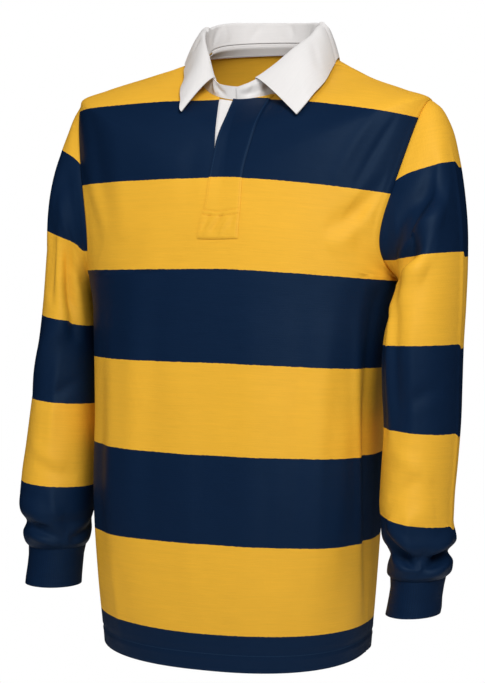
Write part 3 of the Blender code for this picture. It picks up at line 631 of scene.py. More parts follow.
class Sheet:
    """A grid of points on the outer face of a piece of cloth, with its map in metres."""

    def __init__(self, points, closed=False, inside=(0.0, -0.05, -0.3)):
        self.points = np.array(points, float)
        self.closed = closed
        self.inside = inside
        self.skip = np.zeros(self.points.shape[:2], bool)
        self.normals = self.measure()
        self.map = self.flat_map()

    def measure(self):
        """Unit normals that point away from the inside of the garment."""
        p = self.points
        across = np.gradient(p, axis=1)
        if self.closed:
            across = (np.roll(p, -1, axis=1) - np.roll(p, 1, axis=1)) / 2
        along = np.gradient(p, axis=0)
        normal = np.cross(across, along)
        normal /= np.maximum(np.linalg.norm(normal, axis=2), 1e-12)[:, :, None]
        centre = p.mean(axis=1, keepdims=True) if self.closed else np.array(self.inside)
        if (normal * (p - centre)).sum() < 0:
            normal = -normal
        if len(p) == len(LEVELS):
            for first, last in SHARP_ROWS:
                ease_rows(normal, first, last)
        return normal

    def flat_map(self):
        """Lengths along the rows from their middle and down the columns, in metres."""
        p = self.points
        if self.closed:
            p = np.concatenate([p, p[:, :1]], axis=1)
        round_it = np.zeros(p.shape[:2])
        round_it[:, 1:] = np.cumsum(np.linalg.norm(np.diff(p, axis=1), axis=2), axis=1)
        round_it -= round_it[:, -1:] / 2
        down_it = np.zeros(p.shape[:2])
        down_it[1:] = np.cumsum(np.linalg.norm(np.diff(p, axis=0), axis=2), axis=0)
        return np.stack([round_it, down_it], axis=2)


def add_creases(sheet, creases, strength=1.0, edge=None):
    """Raises soft ridges and sinks soft troughs along bowed lines on a sheet.

    They fade out over two rows and columns of the solid, or over the edge given in metres.
    """
    rows, columns = sheet.points.shape[:2]
    steps = np.linalg.norm(np.diff(sheet.points, axis=0), axis=2)
    steps = steps.mean(axis=1) if sheet.closed else steps.min(axis=1)
    tall = steps.sum()
    down = np.concatenate([[0], np.cumsum(steps)])[:, None] / tall
    around = np.arange(columns)[None, :] / (columns if sheet.closed else columns - 1)
    wide = np.linalg.norm(np.diff(sheet.points, axis=1), axis=2).sum(axis=1).mean()
    rise = np.zeros((rows, columns))
    for crease in creases:
        ends = (crease.row * (rows - 1), crease.end_row * (rows - 1))
        first, last = np.interp(ends, range(rows), down[:, 0])
        run = np.array(((last - first) * tall, (crease.end_turn - crease.turn) * wide))
        length = math.hypot(*run)
        for lap in (-1.0, 0.0, 1.0) if sheet.closed else (0.0,):
            there = np.stack(
                np.broadcast_arrays(
                    (down - first) * tall, (around - crease.turn + lap) * wide
                ),
                axis=2,
            )
            along = (there @ run) / length**2
            beside = (there[:, :, 0] * run[1] - there[:, :, 1] * run[0]) / length
            inside = np.clip(along, 0, 1)
            beside = beside - crease.bow * 4 * inside * (1 - inside)
            taper = np.sin(np.pi * inside) ** 0.7
            rise += strength * crease.height * taper * np.exp(-((beside / crease.width) ** 2))
    fade = edge / tall if edge else 2.0 / (rows - 1) * FINE
    share = np.clip(down / fade, 0, 1) * np.clip((1 - down) / fade, 0, 1)
    if not sheet.closed:
        fade = edge / wide if edge else 2.0 / (columns - 1) * FINE
        share = share * np.clip(around / fade, 0, 1) * np.clip((1 - around) / fade, 0, 1)
    sheet.points = sheet.points + sheet.normals * (rise * share)[:, :, None]
    sheet.normals = sheet.measure()


def puff_seams(sheet):
    """Raises the cloth a little beside its seams, and sinks the stitched line of the hem."""
    beside = sheet.map[:, :, 0] if not sheet.closed else sheet.map[:, :-1, 0]
    far = np.abs(beside[:, -1:]) - np.abs(beside)
    if sheet.closed:
        far = sheet.map[:, :-1, 1]
    rise = SEAM_PUFF * np.exp(-(((far - PUFF_PLACE) / PUFF_WIDTH) ** 2))
    if not sheet.closed:
        near_tip = np.exp(-(((np.arange(len(rise)) - TIP_ROW) / TIP_PUFF_ROWS) ** 2))
        rise *= 1 - TIP_PUFF_LOSS * near_tip[:, None]
        for row, height in HEM_LINE:
            rise[FINE + row] += height
    sheet.points = sheet.points + sheet.normals * rise[:, :, None]
    sheet.normals = sheet.measure()


def part_seam(first, first_edge, first_next, second, second_edge, second_next):
    """Two sheets share the normals along a seam and stand half a gap back from it."""
    a, b = first.points, second.points
    apart = a[first_next] - b[second_next]
    apart = apart / np.linalg.norm(apart, axis=-1, keepdims=True)
    normal = first.normals[first_edge] + second.normals[second_edge]
    normal = normal / np.linalg.norm(normal, axis=-1, keepdims=True)
    a[first_edge] = a[first_edge] + apart * SEAM_GAP / 2
    b[second_edge] = b[second_edge] - apart * SEAM_GAP / 2
    first.normals[first_edge] = normal
    second.normals[second_edge] = normal


def part_corner(sleeve, turn, front, back, front_place, back_place, step):
    """Where a sleeve meets the front and the back at once, it stands back from both."""
    row, column = front_place
    apart = sleeve.points[1, turn] - front.points[row + step, column]
    apart = apart / np.linalg.norm(apart)
    sleeve.points[0, turn] = sleeve.points[0, turn] + apart * SEAM_GAP
    normal = sleeve.normals[0, turn] + front.normals[front_place] + back.normals[back_place]
    normal = normal / np.linalg.norm(normal)
    sleeve.normals[0, turn] = normal
    front.normals[front_place] = normal
    back.normals[back_place] = normal


def front_sheet():
    """The front panel with the slit at the neck left out of its grid."""
    side = FRONT_SIDE_COLUMNS * FINE
    grid = []
    for level, open_share in LEVELS:
        right = -90.0 + ARMHOLE_DIP_RIGHT * open_share
        left = 90.0 - ARMHOLE_DIP_LEFT * open_share
        slit = slit_at(level)
        low = angle_of(level, slit.right_edge)
        high = angle_of(level, slit.left_edge)
        angles = [right + (low - right) * i / side for i in range(side + 1)]
        angles += [high + (left - high) * i / side for i in range(side + 1)]
        grid.append([torso_point(level, angle) for angle in angles])
    sheet = Sheet(grid)
    for r, (level, _) in enumerate(LEVELS):
        sheet.skip[r, side] = level >= SLIT_FOOT - 1e-6
    return sheet


def back_sheet():
    """The back panel, from the wearer's left side round to the right."""
    count = BACK_COLUMNS * FINE
    grid = []
    for level, open_share in LEVELS:
        edge = 90.0 + ARMHOLE_DIP_BACK * open_share
        sweep = 360.0 - 2 * edge
        grid.append([torso_point(level, edge + sweep * i / count) for i in range(count + 1)])
    return Sheet(grid)


def armhole(front, back, left):
    """The points round one armhole, from the shoulder tip down the front and up the back."""
    front_column, back_column = (-1, 0) if left else (0, -1)
    down = front.points[ARMPIT_ROW : TIP_ROW + 1, front_column][::-1]
    up = back.points[ARMPIT_ROW : TIP_ROW + 1, back_column]
    return np.concatenate([down, up[1:-1]])


def cut_ring(cut, count):
    """The points round one section of a sleeve or cuff."""
    outer = np.array((cut.out_x, cut.out_y, cut.out_z))
    inner = np.array((cut.in_x, cut.in_y, cut.in_z))
    turns = np.arange(count) * 2 * math.pi / count
    middle = (outer + inner) / 2
    half = (outer - inner) / 2
    forward = np.array((0.0, -cut.deep, 0.0))
    return middle + np.cos(turns)[:, None] * half + np.sin(turns)[:, None] * forward


def sleeve_sheet(loop, cuts):
    """A sleeve that starts as the armhole and turns into the rings of its table."""
    read = smooth_columns(cuts, "place")
    last = cuts[-1].place
    start = cut_ring(cuts[0], len(loop))
    rows = SLEEVE_ROWS * FINE
    grid = []
    for i in range(rows + 1):
        place = last * i / rows
        share = max(0.0, 1.0 - place / SLEEVE_BLEND)
        grid.append(cut_ring(read(place), len(loop)) + (loop - start) * share**BLEND_POWER)
    return Sheet(grid, closed=True)


def cuff_sheet(sleeve, cuts):
    """A cuff that is sewn to the last ring of its sleeve."""
    seam = sleeve.points[-1]
    rings = [cut_ring(cut, len(seam)) for cut in cuts]
    down = rings[0] - seam
    down /= np.linalg.norm(down, axis=1)[:, None]
    rings = np.array([seam + down * SEAM_GAP] + rings)
    at = np.array([0.0] + [cut.place for cut in cuts])
    grid = []
    for i in range(CUFF_ROWS + 1):
        place = at[-1] * i / CUFF_ROWS
        j = min(int(np.searchsorted(at, place, side="right")) - 1, len(at) - 2)
        t = (place - at[j]) / (at[j + 1] - at[j])
        grid.append(rings[j] * (1 - t) + rings[j + 1] * t)
    return Sheet(grid, closed=True)


def neckline(front, back):
    """The neckline points, from the wearer's right of the slit round the back to its left."""
    side = FRONT_SIDE_COLUMNS * FINE
    right = front.points[-1, : side + 1][::-1]
    behind = back.points[-1, ::-1]
    left = front.points[-1, side + 1 :][::-1]
    return np.concatenate([right, behind[1:-1], left])


def collar_base(front, back):
    """The foot of the collar, and how far round the neck each of its points is."""
    side = FRONT_SIDE_COLUMNS * FINE
    behind = BACK_COLUMNS * FINE
    around = [-1 + 0.5 * i / side for i in range(side + 1)]
    around += [-0.5 + i / behind for i in range(1, behind)]
    around += [0.5 + 0.5 * i / side for i in range(side + 1)]
    start = slit_at(NECK).right_edge
    lap = []
    for i in range(2 * FINE):
        share = 1.0 - i / (2 * FINE)
        point = torso_point(NECK, angle_of(NECK, start + UNDERLAP * share))
        lap.append(point + np.array((0.0, UNDERLAP_BACK * share, 0.0)))
    return [-1.0] * len(lap) + around, np.concatenate([lap, neckline(front, back)])


def neck_out(point):
    """The level direction away from the neck at a point of the collar."""
    out = np.array((point[0], point[1] - NECK_MIDDLE, 0.0))
    return out / np.linalg.norm(out)


def collar_folds(around, base):
    """The fold line of the collar above the neckline."""
    folds = []
    for place, point in zip(around, base):
        station = station_at(place)
        folds.append(point + neck_out(point) * station.lean + np.array((0, 0, station.rise)))
    return np.array(folds)


def stand_sheet(base, folds):
    """The standing part of the collar, between the neckline and the fold."""
    shares = [i / STAND_ROWS for i in range(STAND_ROWS + 1)]
    lift = np.array((0.0, 0.0, SEAM_GAP))
    grid = [base + (folds - base) * share + lift * (1 - share) for share in shares]
    return Sheet(grid, inside=(0, 0, 0.02))


def surface_out(level, angle):
    """The outward direction of the torso at a place on it."""
    here = torso_point(level, angle)
    up = torso_point(level - 0.02, angle) - here
    side = torso_point(level, angle + 1.0) - here
    normal = np.cross(up, side)
    normal /= np.linalg.norm(normal)
    return normal if normal @ (here - np.array(TORSO_MIDDLE)) > 0 else -normal


def leaf_sheet(around, base, folds):
    """The turned-down part of the collar, with the lining that it carries inside the stand.

    Its rows run up the inside of the stand, over the fold and down to the edge.
    """
    keep = slice((LEAF_START_RIGHT + 2) * FINE, -LEAF_START_LEFT * FINE)
    columns = []
    for place, foot, fold in list(zip(around, base, folds))[keep]:
        station = station_at(place)
        edge = torso_point(station.edge_level, station.edge_angle)
        lift = station.lift + COLLAR_WALL
        edge = edge + surface_out(station.edge_level, station.edge_angle) * lift
        start = fold + np.array((0, 0, COLLAR_WALL + 2 * LAY_GAP))
        out = edge - start
        out[2] = 0
        out /= np.linalg.norm(out)
        pull = start + out * FOLD_ROLL
        neck = neck_out(foot)
        radius = 1.5 * COLLAR_WALL + LAY_GAP
        top = fold - neck * COLLAR_WALL / 2
        low = foot + (fold - foot) * LINING_FOOT / np.linalg.norm(fold - foot)
        low = low - neck * (COLLAR_WALL / 2 + radius)
        column = []
        for i in range(LINING_ROWS):
            column.append(low + (top - neck * radius - low) * i / LINING_ROWS)
        for i in range(ROLL_ROWS):
            turn = math.pi / 2 * i / ROLL_ROWS
            up = np.array((0, 0, radius * math.sin(turn)))
            column.append(top - neck * radius * math.cos(turn) + up)
        for i in range(LEAF_ROWS + 1):
            t = i / LEAF_ROWS
            column.append((1 - t) ** 2 * start + 2 * t * (1 - t) * pull + t**2 * edge)
        columns.append(column)
    return Sheet(np.array(columns).transpose(1, 0, 2), inside=(0, 0, -0.05))


def row_at(level):
    """The row of the front panel, in parts of a row, at a level."""
    return float(np.interp(level, [row[0] for row in LEVELS], range(len(LEVELS))))


def on_row(sheet, row, x):
    """The point, the outward direction and the map at this x on a row of the front panel."""
    low = min(int(row), len(sheet.points) - 2)
    t = row - low
    found = []
    for grid in (sheet.points, sheet.normals, sheet.map):
        values = []
        for r in (low, low + 1):
            line = sheet.points[r, :, 0]
            values.append([np.interp(x, line, grid[r, :, k]) for k in range(grid.shape[2])])
        found.append(np.array(values[0]) * (1 - t) + np.array(values[1]) * t)
    point, normal, flat = found
    return point, normal / np.linalg.norm(normal), flat


def band_sheet(front, lift, foot, span, columns):
    """A band down the neck slit, at a distance from the outer face of the front panel."""
    rows = round((NECK - foot) / BAND_STEP)
    grid, flats = [], []
    for i in range(rows + 1):
        level = foot + (NECK - foot) * i / rows
        start, end = span(slit_at(level))
        line, flat = [], []
        for j in range(columns + 1):
            share = j / columns
            found = on_row(front, row_at(level), start + (end - start) * share)
            line.append(found[0] + found[1] * lift(level, share, end - start))
            flat.append(found[2])
        grid.append(line)
        flats.append(flat)
    top, below = np.array(grid[-1]), np.array(grid[-2])
    down = (below - top) / np.linalg.norm(below - top, axis=1)[:, None]
    grid[-1] = top + down * BAND_STOP
    sheet = Sheet(grid)
    sheet.map = np.array(flats)
    return sheet


def upper_lift(level, share, width):
    """The upper band stands off the panel, less so where it is sewn down."""
    height = LAY_GAP + JERSEY_WALL
    side = min(1.0, (1.0 - share) * width / SEWN_SIDE)
    foot = min(1.0, (level - BAND_FOOT) / SEWN_FOOT)
    height = SEWN_LIFT + (height - SEWN_LIFT) * min(side, foot) ** 0.7
    for line in BOX_LINES:
        height -= BOX_DIP * math.exp(-(((level - line) / BOX_WIDTH) ** 2))
    return max(height, LEAST_LIFT)


def under_lift(level, share, width):
    """The white band lies behind the panel."""
    return -JERSEY_WALL - LAY_GAP


def upper_span(slit):
    """The x of the free edge and the sewn side of the upper band."""
    return slit.band_edge, slit.band_side


def under_span(slit):
    """The x of the two sides of the white band."""
    return slit.band_edge - UNDER_RIGHT, slit.band_edge + UNDER_LEFT


def band_line(front, ends, count):
    """Points, directions and map along the upper band, between two levels and shares across."""
    (level, share), (last_level, last_share) = ends
    places = [
        (level + (last_level - level) * i / count, share + (last_share - share) * i / count)
        for i in range(count + 1)
    ]
    found = []
    for level, share in places:
        start, end = upper_span(slit_at(level))
        point, normal, flat = on_row(front, row_at(level), start + (end - start) * share)
        lift = upper_lift(level, share, end - start)
        found.append((point + normal * lift, normal, flat))
    return [np.array(part) for part in zip(*found)]


def tape_sheet(back):
    """The tape inside the back neck, over the seam of the collar."""
    columns = slice(TAPE_START, (BACK_COLUMNS - 1) * FINE)
    top = back.points[-1, columns]
    low = top + (back.points[-1 - FINE, columns] - top) * TAPE_SHARE
    inward = back.normals[-1, columns] + back.normals[-1 - FINE, columns]
    inward /= -np.linalg.norm(inward, axis=1)[:, None]
    step = inward * (JERSEY_WALL + 2 * LAY_GAP)
    rows = [low + (top - low) * i / TAPE_ROWS + step for i in range(TAPE_ROWS + 1)]
    for i in range(1, TAPE_TOP_ROWS + 1):
        rows.append(top + step + np.array((0, 0, TAPE_RISE * i / TAPE_TOP_ROWS)))
    return Sheet(rows)


def allowance_sheet(front, back, left):
    """The cloth turned in behind a side seam, which closes the join from inside."""
    near, far = ((-2, -1), (1,)) if left else ((1, 0), (-2,))
    rows = range(1, ARMPIT_ROW - 1)
    grid, flats = [], []
    for r in rows:
        depth = LAY_GAP + (HEM_WALL if r <= FINE + 1 else JERSEY_WALL)
        line = [front.points[r, c] - front.normals[r, c] * depth for c in near]
        line += [back.points[r, c] - back.normals[r, c] * depth for c in far]
        grid.append(line)
        flats.append([front.map[r, c] for c in (*near, near[-1])])
    sheet = Sheet(grid)
    sheet.map = np.array(flats)
    beside = np.linalg.norm(sheet.points[:, 2] - sheet.points[:, 1], axis=1)
    sheet.map[:, 2, 0] += beside if left else -beside
    return sheet


def body_hoops(sheet, front):
    """Writes each point's place among the hoops, in metres, into the map of a panel."""
    numbers = [edge.number for edge in BODY_HOOPS]
    depth = sizes().hoop_depth
    for r, (level, _) in enumerate(LEVELS):
        ring = ring_at(min(level, TIP))
        for c, point in enumerate(sheet.points[r]):
            share = min(max((point[0] - ring.middle_x) / ring.half_width, -1.0), 1.0)
            lean = abs(share) ** HOOP_POWER
            heights = []
            for edge in BODY_HOOPS:
                side = edge.left if share > 0 else edge.right
                middle = edge.chest if front else edge.back
                heights.append(middle + (side - middle) * lean)
            place = np.interp(point[2], heights, numbers)
            sheet.map[r, c, 1] = place * depth
    return sheet


def sleeve_hoops(sheet, hoops, step):
    """The same for a sleeve, whose hoops tilt from its shoulder side to its body side.

    Behind the pressed crease of one sleeve and the groove of the other they step down.
    """
    numbers = [edge.number for edge in hoops]
    outer = np.array([edge.outer for edge in hoops])
    inner = np.array([edge.inner for edge in hoops])
    depth = sizes().hoop_depth
    half = sheet.points.shape[1] // 2
    for r, row in enumerate(sheet.points):
        start, end = row[half][0], row[0][0]
        for c, point in enumerate(row):
            share = min(max((point[0] - start) / (end - start), 0.0), 1.0)
            place = np.interp(point[2], inner + (outer - inner) * share, numbers)
            shown = np.interp(c / len(row), step.turns, step.shows)
            drop = shown * np.interp(place, step.hoops, step.heights)
            sheet.map[r, c, 1] = place * depth + drop
    sheet.map[:, -1, 1] = sheet.map[:, 0, 1]
    return sheet


def cloth_piece(name, corners, faces, flats, material):
    """A smooth mesh with its map and its finish, which rides the garment's one body."""
    mesh = bpy.data.meshes.new(name)
    mesh.from_pydata(corners, [], faces)
    layer = mesh.uv_layers.new(name="cloth")
    layer.uv.foreach_set("vector", np.array(flats).astype(np.float32).ravel())
    mesh.polygons.foreach_set("use_smooth", [True] * len(mesh.polygons))
    mesh.update()
    mesh.materials.append(material)
    piece = bpy.data.objects.new(name, mesh)
    bpy.context.scene.collection.objects.link(piece)
    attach(piece, "root")
    return piece


def wall(name, sheet, thickness, material, node=None):
    """A cloth piece: its outer face, its inner face and the rim between them."""
    rows, columns = sheet.points.shape[:2]
    depth = np.asarray(thickness, float)
    if depth.ndim == 1:
        depth = depth[:, None]
    depth = np.broadcast_to(depth, (rows, columns))
    inner = sheet.points - sheet.normals * depth[:, :, None]
    count = rows * columns
    corners = np.concatenate([sheet.points.reshape(-1, 3), inner.reshape(-1, 3)])
    quads = []
    for r in range(rows - 1):
        for c in range(columns if sheet.closed else columns - 1):
            if not sheet.skip[r, c]:
                quads.append(((r, c), (r, c + 1), (r + 1, c + 1), (r + 1, c)))

    def index(place):
        return place[0] * columns + place[1] % columns

    middle = quads[len(quads) // 2]
    a, b, c, d = (corners[index(place)] for place in middle)
    outward = sheet.normals[middle[0][0], middle[0][1] % columns]
    if np.cross(c - a, d - b) @ outward < 0:
        quads = [quad[::-1] for quad in quads]
    edges = {}
    for quad in quads:
        for start, end in zip(quad, quad[1:] + quad[:1]):
            edges[(index(start), index(end))] = (start, end)
    faces = []
    places = []
    for quad in quads:
        faces.append([index(place) for place in quad])
        places.extend(quad)
    for quad in quads:
        faces.append([index(place) + count for place in quad[::-1]])
        places.extend(quad[::-1])
    for (start, end), (first, last) in edges.items():
        if (end, start) not in edges:
            faces.append([end, start, start + count, end + count])
            places.extend((last, first, first, last))
    used = sorted({i for face in faces for i in face})
    renumber = np.zeros(2 * count, int)
    renumber[used] = np.arange(len(used))
    faces = [renumber[face].tolist() for face in faces]
    flats = [sheet.map[place] for place in places]
    piece = cloth_piece(name, corners[used].tolist(), faces, flats, material)
    mark_rim(piece.data, len(quads))
    if node:
        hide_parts(node)
    return piece


def sew(name, lines, material):
    """Rows of stitches, each a short thread that dips into the cloth at both ends."""
    length = sizes().stitch_length
    pitch = length * STITCH_PITCH
    radius = sizes().thread_radius
    corners, faces, flats = [], [], []
    for points, normals, flat in lines:
        far = np.concatenate([[0], np.cumsum(np.linalg.norm(np.diff(points, axis=0), axis=1))])
        columns = np.concatenate([points, normals, flat], axis=1).T
        for k in range(int(far[-1] / pitch)):
            rings = []
            for step, height in STITCH_RINGS:
                at = k * pitch + step * length
                here = np.array([np.interp(at, far, column) for column in columns])
                ahead = [np.interp(at + SMALL_STEP, far, column) for column in columns[:3]]
                along = np.array(ahead) - here[:3]
                along /= max(np.linalg.norm(along), 1e-9)
                normal = here[3:6] / np.linalg.norm(here[3:6])
                side = np.cross(along, normal)
                middle = here[:3] + normal * radius * height
                rings.append(len(corners))
                for j in range(THREAD_SIDES):
                    turn = 2 * math.pi * j / THREAD_SIDES
                    out = side * math.cos(turn) + normal * math.sin(turn)
                    corners.append(middle + out * radius)
                    flats.append(here[6:8])
            for first, second in zip(rings, rings[1:]):
                for j in range(THREAD_SIDES):
                    after = (j + 1) % THREAD_SIDES
                    faces.append((first + j, first + after, second + after, second + j))
    flats = [flats[i] for face in faces for i in face]
    piece = cloth_piece(name, np.array(corners).tolist(), faces, flats, material)


def mark_rim(mesh, quads):
    """Keeps the shading of the two faces apart from that of the rim."""
    sides = {}
    for polygon in mesh.polygons:
        kind = min(polygon.index // quads, 2)
        for key in polygon.edge_keys:
            sides.setdefault(key, set()).add(kind)
    sharp = mesh.attributes.new("sharp_edge", "BOOLEAN", "EDGE")
    marks = [len(sides[tuple(sorted(edge.vertices))]) > 1 for edge in mesh.edges]
    sharp.data.foreach_set("value", marks)


def link(tree, start, end):
    tree.links.new(start, end)


def new_group(name, inputs, outputs):
    """A shader node group with named sockets: its tree, its input node and its output node."""
    tree = bpy.data.node_groups.new(name, "ShaderNodeTree")
    for label, kind, default in inputs:
        socket = tree.interface.new_socket(label, in_out="INPUT", socket_type=kind)
        if default is not None:
            socket.default_value = default
    for label, kind in outputs:
        tree.interface.new_socket(label, in_out="OUTPUT", socket_type=kind)
    start = tree.nodes.new("NodeGroupInput")
    end = tree.nodes.new("NodeGroupOutput")
    return tree, start, end


def math_node(tree, operation, first, second=None, clamp=False):
    """A Math node whose inputs are sockets or numbers, and gives its output socket."""
    node = tree.nodes.new("ShaderNodeMath")
    node.operation = operation
    node.use_clamp = clamp
    for socket, value in zip(node.inputs, (first, second)):
        if isinstance(value, bpy.types.NodeSocket):
            tree.links.new(value, socket)
        elif value is not None:
            socket.default_value = value
    return node.outputs[0]


def weighted_sum(tree, parts, middle=None):
    """The sum of some sockets, each less a middle value and times its weight."""
    total = None
    for socket, weight in parts:
        if middle is not None:
            socket = math_node(tree, "SUBTRACT", socket, middle)
        part = math_node(tree, "MULTIPLY", socket, weight)
        total = part if total is None else math_node(tree, "ADD", total, part)
    return total


def noise_node(tree, vector, scale, detail=2.0, roughness=0.5):
    """A noise pattern on a vector that is stretched by three scales."""
    stretch = tree.nodes.new("ShaderNodeVectorMath")
    stretch.operation = "MULTIPLY"
    stretch.inputs[1].default_value = scale
    tree.links.new(vector, stretch.inputs[0])
    noise = tree.nodes.new("ShaderNodeTexNoise")
    noise.inputs["Scale"].default_value = 1.0
    noise.inputs["Detail"].default_value = detail
    noise.inputs["Roughness"].default_value = roughness
    tree.links.new(stretch.outputs[0], noise.inputs["Vector"])
    return noise.outputs["Fac"]


def cotton_group():
    """Slubs along the yarn, loops of the knit and soft patches, on a map in metres."""
    known = bpy.data.node_groups.get("cotton_yarn")
    if known:
        return known
    tree, start, end = new_group(
        "cotton_yarn",
        [("Map", "NodeSocketVector", None), ("Loop Pitch", "NodeSocketFloat", 0.0016)],
        [("Shade", "NodeSocketFloat"), ("Height", "NodeSocketFloat")],
    )
    place = start.outputs["Map"]
    slub = noise_node(tree, place, (38.0, 900.0, 1.0), 3.0, 0.55)
    streak = noise_node(tree, place, (9.0, 240.0, 1.0), 2.0, 0.5)
    patch = noise_node(tree, place, (11.0, 11.0, 1.0), 2.0, 0.5)
    fuzz = noise_node(tree, place, (1500.0, 1500.0, 1.0), 1.0, 0.5)
    swell = noise_node(tree, place, (22.0, 30.0, 1.0), 2.0, 0.5)
    split = tree.nodes.new("ShaderNodeSeparateXYZ")
    link(tree, place, split.inputs[0])
    turn = math_node(tree, "DIVIDE", 2 * math.pi, start.outputs["Loop Pitch"])
    wale = math_node(tree, "SINE", math_node(tree, "MULTIPLY", split.outputs[0], turn))
    course = math_node(tree, "SINE", math_node(tree, "MULTIPLY", split.outputs[1], turn))
    loops = math_node(tree, "MULTIPLY", wale, course)
    shade = weighted_sum(tree, ((slub, 1.1), (streak, 0.6), (patch, 0.7)), middle=0.5)
    link(tree, math_node(tree, "ADD", shade, 0.5, clamp=True), end.inputs["Shade"])
    height = weighted_sum(tree, ((loops, 0.25), (slub, 0.9), (fuzz, 0.5), (swell, 4.0)))
    link(tree, height, end.inputs["Height"])
    return tree


def cloth_material(finish, colour=None, colour_nodes=None):
    """A cotton finish. colour is a plain colour, or colour_nodes makes one from the map."""
    known = bpy.data.materials.get(finish.name)
    if known:
        return known
    material = bpy.data.materials.new(finish.name)
    material.use_nodes = True
    tree = material.node_tree
    shader = tree.nodes["Principled BSDF"]
    place = tree.nodes.new("ShaderNodeUVMap")
    place.uv_map = "cloth"
    yarn = tree.nodes.new("ShaderNodeGroup")
    yarn.node_tree = cotton_group()
    yarn.inputs["Loop Pitch"].default_value = finish.pitch
    link(tree, place.outputs[0], yarn.inputs["Map"])
    base = colour_nodes(tree, place.outputs[0]) if colour_nodes else None
    low = math_node(tree, "MULTIPLY", yarn.outputs["Shade"], 2 * finish.tint)
    gain = math_node(tree, "ADD", low, 1.0 - finish.tint)
    scale = tree.nodes.new("ShaderNodeVectorMath")
    scale.operation = "SCALE"
    if base:
        link(tree, base, scale.inputs[0])
    else:
        scale.inputs[0].default_value = colour[:3]
    link(tree, gain, scale.inputs["Scale"])
    link(tree, scale.outputs[0], shader.inputs["Base Color"])
    relief = tree.nodes.new("ShaderNodeBump")
    relief.inputs["Strength"].default_value = 1.0
    relief.inputs["Distance"].default_value = finish.bump
    link(tree, yarn.outputs["Height"], relief.inputs["Height"])
    link(tree, relief.outputs[0], shader.inputs["Normal"])
    shader.inputs["Roughness"].default_value = finish.roughness
    shader.inputs["Specular IOR Level"].default_value = finish.gloss
    if colour_nodes:
        shader.inputs["Specular Tint"].default_value = DYED_SHEEN
    return material


def hoop_group():
    """1 where the map's height is in an odd hoop, with a border that follows the loops."""
    known = bpy.data.node_groups.get("hoop_mask")
    if known:
        return known
    tree, start, end = new_group(
        "hoop_mask",
        [("Map", "NodeSocketVector", None), ("Hoop Depth", "NodeSocketFloat", 0.113)],
        [("Mask", "NodeSocketFloat")],
    )
    place = start.outputs["Map"]
    waver = noise_node(tree, place, (220.0, 220.0, 1.0), 1.0)
    split = tree.nodes.new("ShaderNodeSeparateXYZ")
    link(tree, place, split.inputs[0])
    shift = weighted_sum(tree, ((waver, HOOP_WAVER),), middle=0.5)
    height = math_node(tree, "ADD", split.outputs[1], shift)
    half = math_node(tree, "DIVIDE", height, start.outputs["Hoop Depth"])
    half = math_node(tree, "MULTIPLY", half, 0.5)
    wave = math_node(tree, "FRACT", math_node(tree, "ADD", half, 8.0))
    link(tree, math_node(tree, "GREATER_THAN", wave, 0.5), end.inputs["Mask"])
    return tree


def colour_mix(tree, share, first, second):
    """A mix of two plain colours by a socket, and gives its output socket."""
    mix = tree.nodes.new("ShaderNodeMix")
    mix.data_type = "RGBA"
    link(tree, share, mix.inputs["Factor"])
    mix.inputs["A"].default_value = (*first, 1.0)
    mix.inputs["B"].default_value = (*second, 1.0)
    return mix.outputs["Result"]


def hooped(tree, place, even, odd):
    """Two colours that change from hoop to hoop."""
    mask = tree.nodes.new("ShaderNodeGroup")
    mask.node_tree = hoop_group()
    mask.inputs["Hoop Depth"].default_value = sizes().hoop_depth
    link(tree, place, mask.inputs["Map"])
    return colour_mix(tree, mask.outputs["Mask"], even, odd)


def hoop_colours(tree, place):
    return hooped(tree, place, colours().gold, colours().navy)


def thread_colours(tree, place):
    return hooped(tree, place, colours().gold_thread, colours().navy_thread)


def rib_painted_shade(tree, place):
    """Navy with painted shade in the grooves between the ribs of a cuff and a painted highlight on
    their ridges.
    """
    navy = colours().navy
    split = tree.nodes.new("ShaderNodeSeparateXYZ")
    link(tree, place, split.inputs[0])
    turn = math_node(tree, "MULTIPLY", split.outputs[0], 2 * math.pi / sizes().rib_pitch)
    wave = math_node(tree, "SINE", turn)
    rib = math_node(tree, "MULTIPLY", math_node(tree, "ADD", wave, 1.0), 0.5)
    # The grooves get painted shade and the ridges a painted highlight
    groove, ridge = ([tone * c for c in navy] for tone in (RIB_GROOVE_SHADE, RIB_RIDGE_HIGHLIGHT))
    return colour_mix(tree, rib, groove, ridge)


def jersey_cloth():
    return cloth_material(JERSEY_FINISH, colour_nodes=hoop_colours)


def rib_cloth():
    return cloth_material(RIB_FINISH, colour_nodes=rib_painted_shade)


def white_cloth():
    return cloth_material(TWILL_FINISH, colour=colours().white)


def thread_cloth():
    """Sewing thread, matched to the hoop that it crosses."""
    return cloth_material(THREAD_FINISH, colour_nodes=thread_colours)


def sizes():
    return bpy.context.scene.jersey_sizes


def colours():
    return bpy.context.scene.jersey_colours


def length_property(name, description, default, least):
    return bpy.props.FloatProperty(
        name=name, description=description, default=default, min=least, unit="LENGTH"
    )


def colour_property(name, description, default):
    return bpy.props.FloatVectorProperty(
        name=name, description=description, default=default, min=0.0, max=1.0, subtype="COLOR"
    )


class JerseySizes(bpy.types.PropertyGroup):
    """Sizes of the hoops, the creases and the sewing."""

    hoop_depth: length_property(
        "Hoop depth", "Height of one hoop on the flat cloth", 0.113, 0.02
    )
    crease_strength: bpy.props.FloatProperty(
        name="Crease strength",
        description="How deep the small creases are, 1 as worn",
        default=1.0,
        min=0.0,
        max=2.0,
        subtype="FACTOR",
    )
    rib_pitch: length_property("Rib pitch", "Distance between the ribs of a cuff", 0.0030, 0.001)
    stitch_length: length_property("Stitch length", "Length of one stitch", 0.0030, 0.001)
    thread_radius: length_property(
        "Thread radius", "Radius of the sewing thread", 0.00028, 0.0001
    )


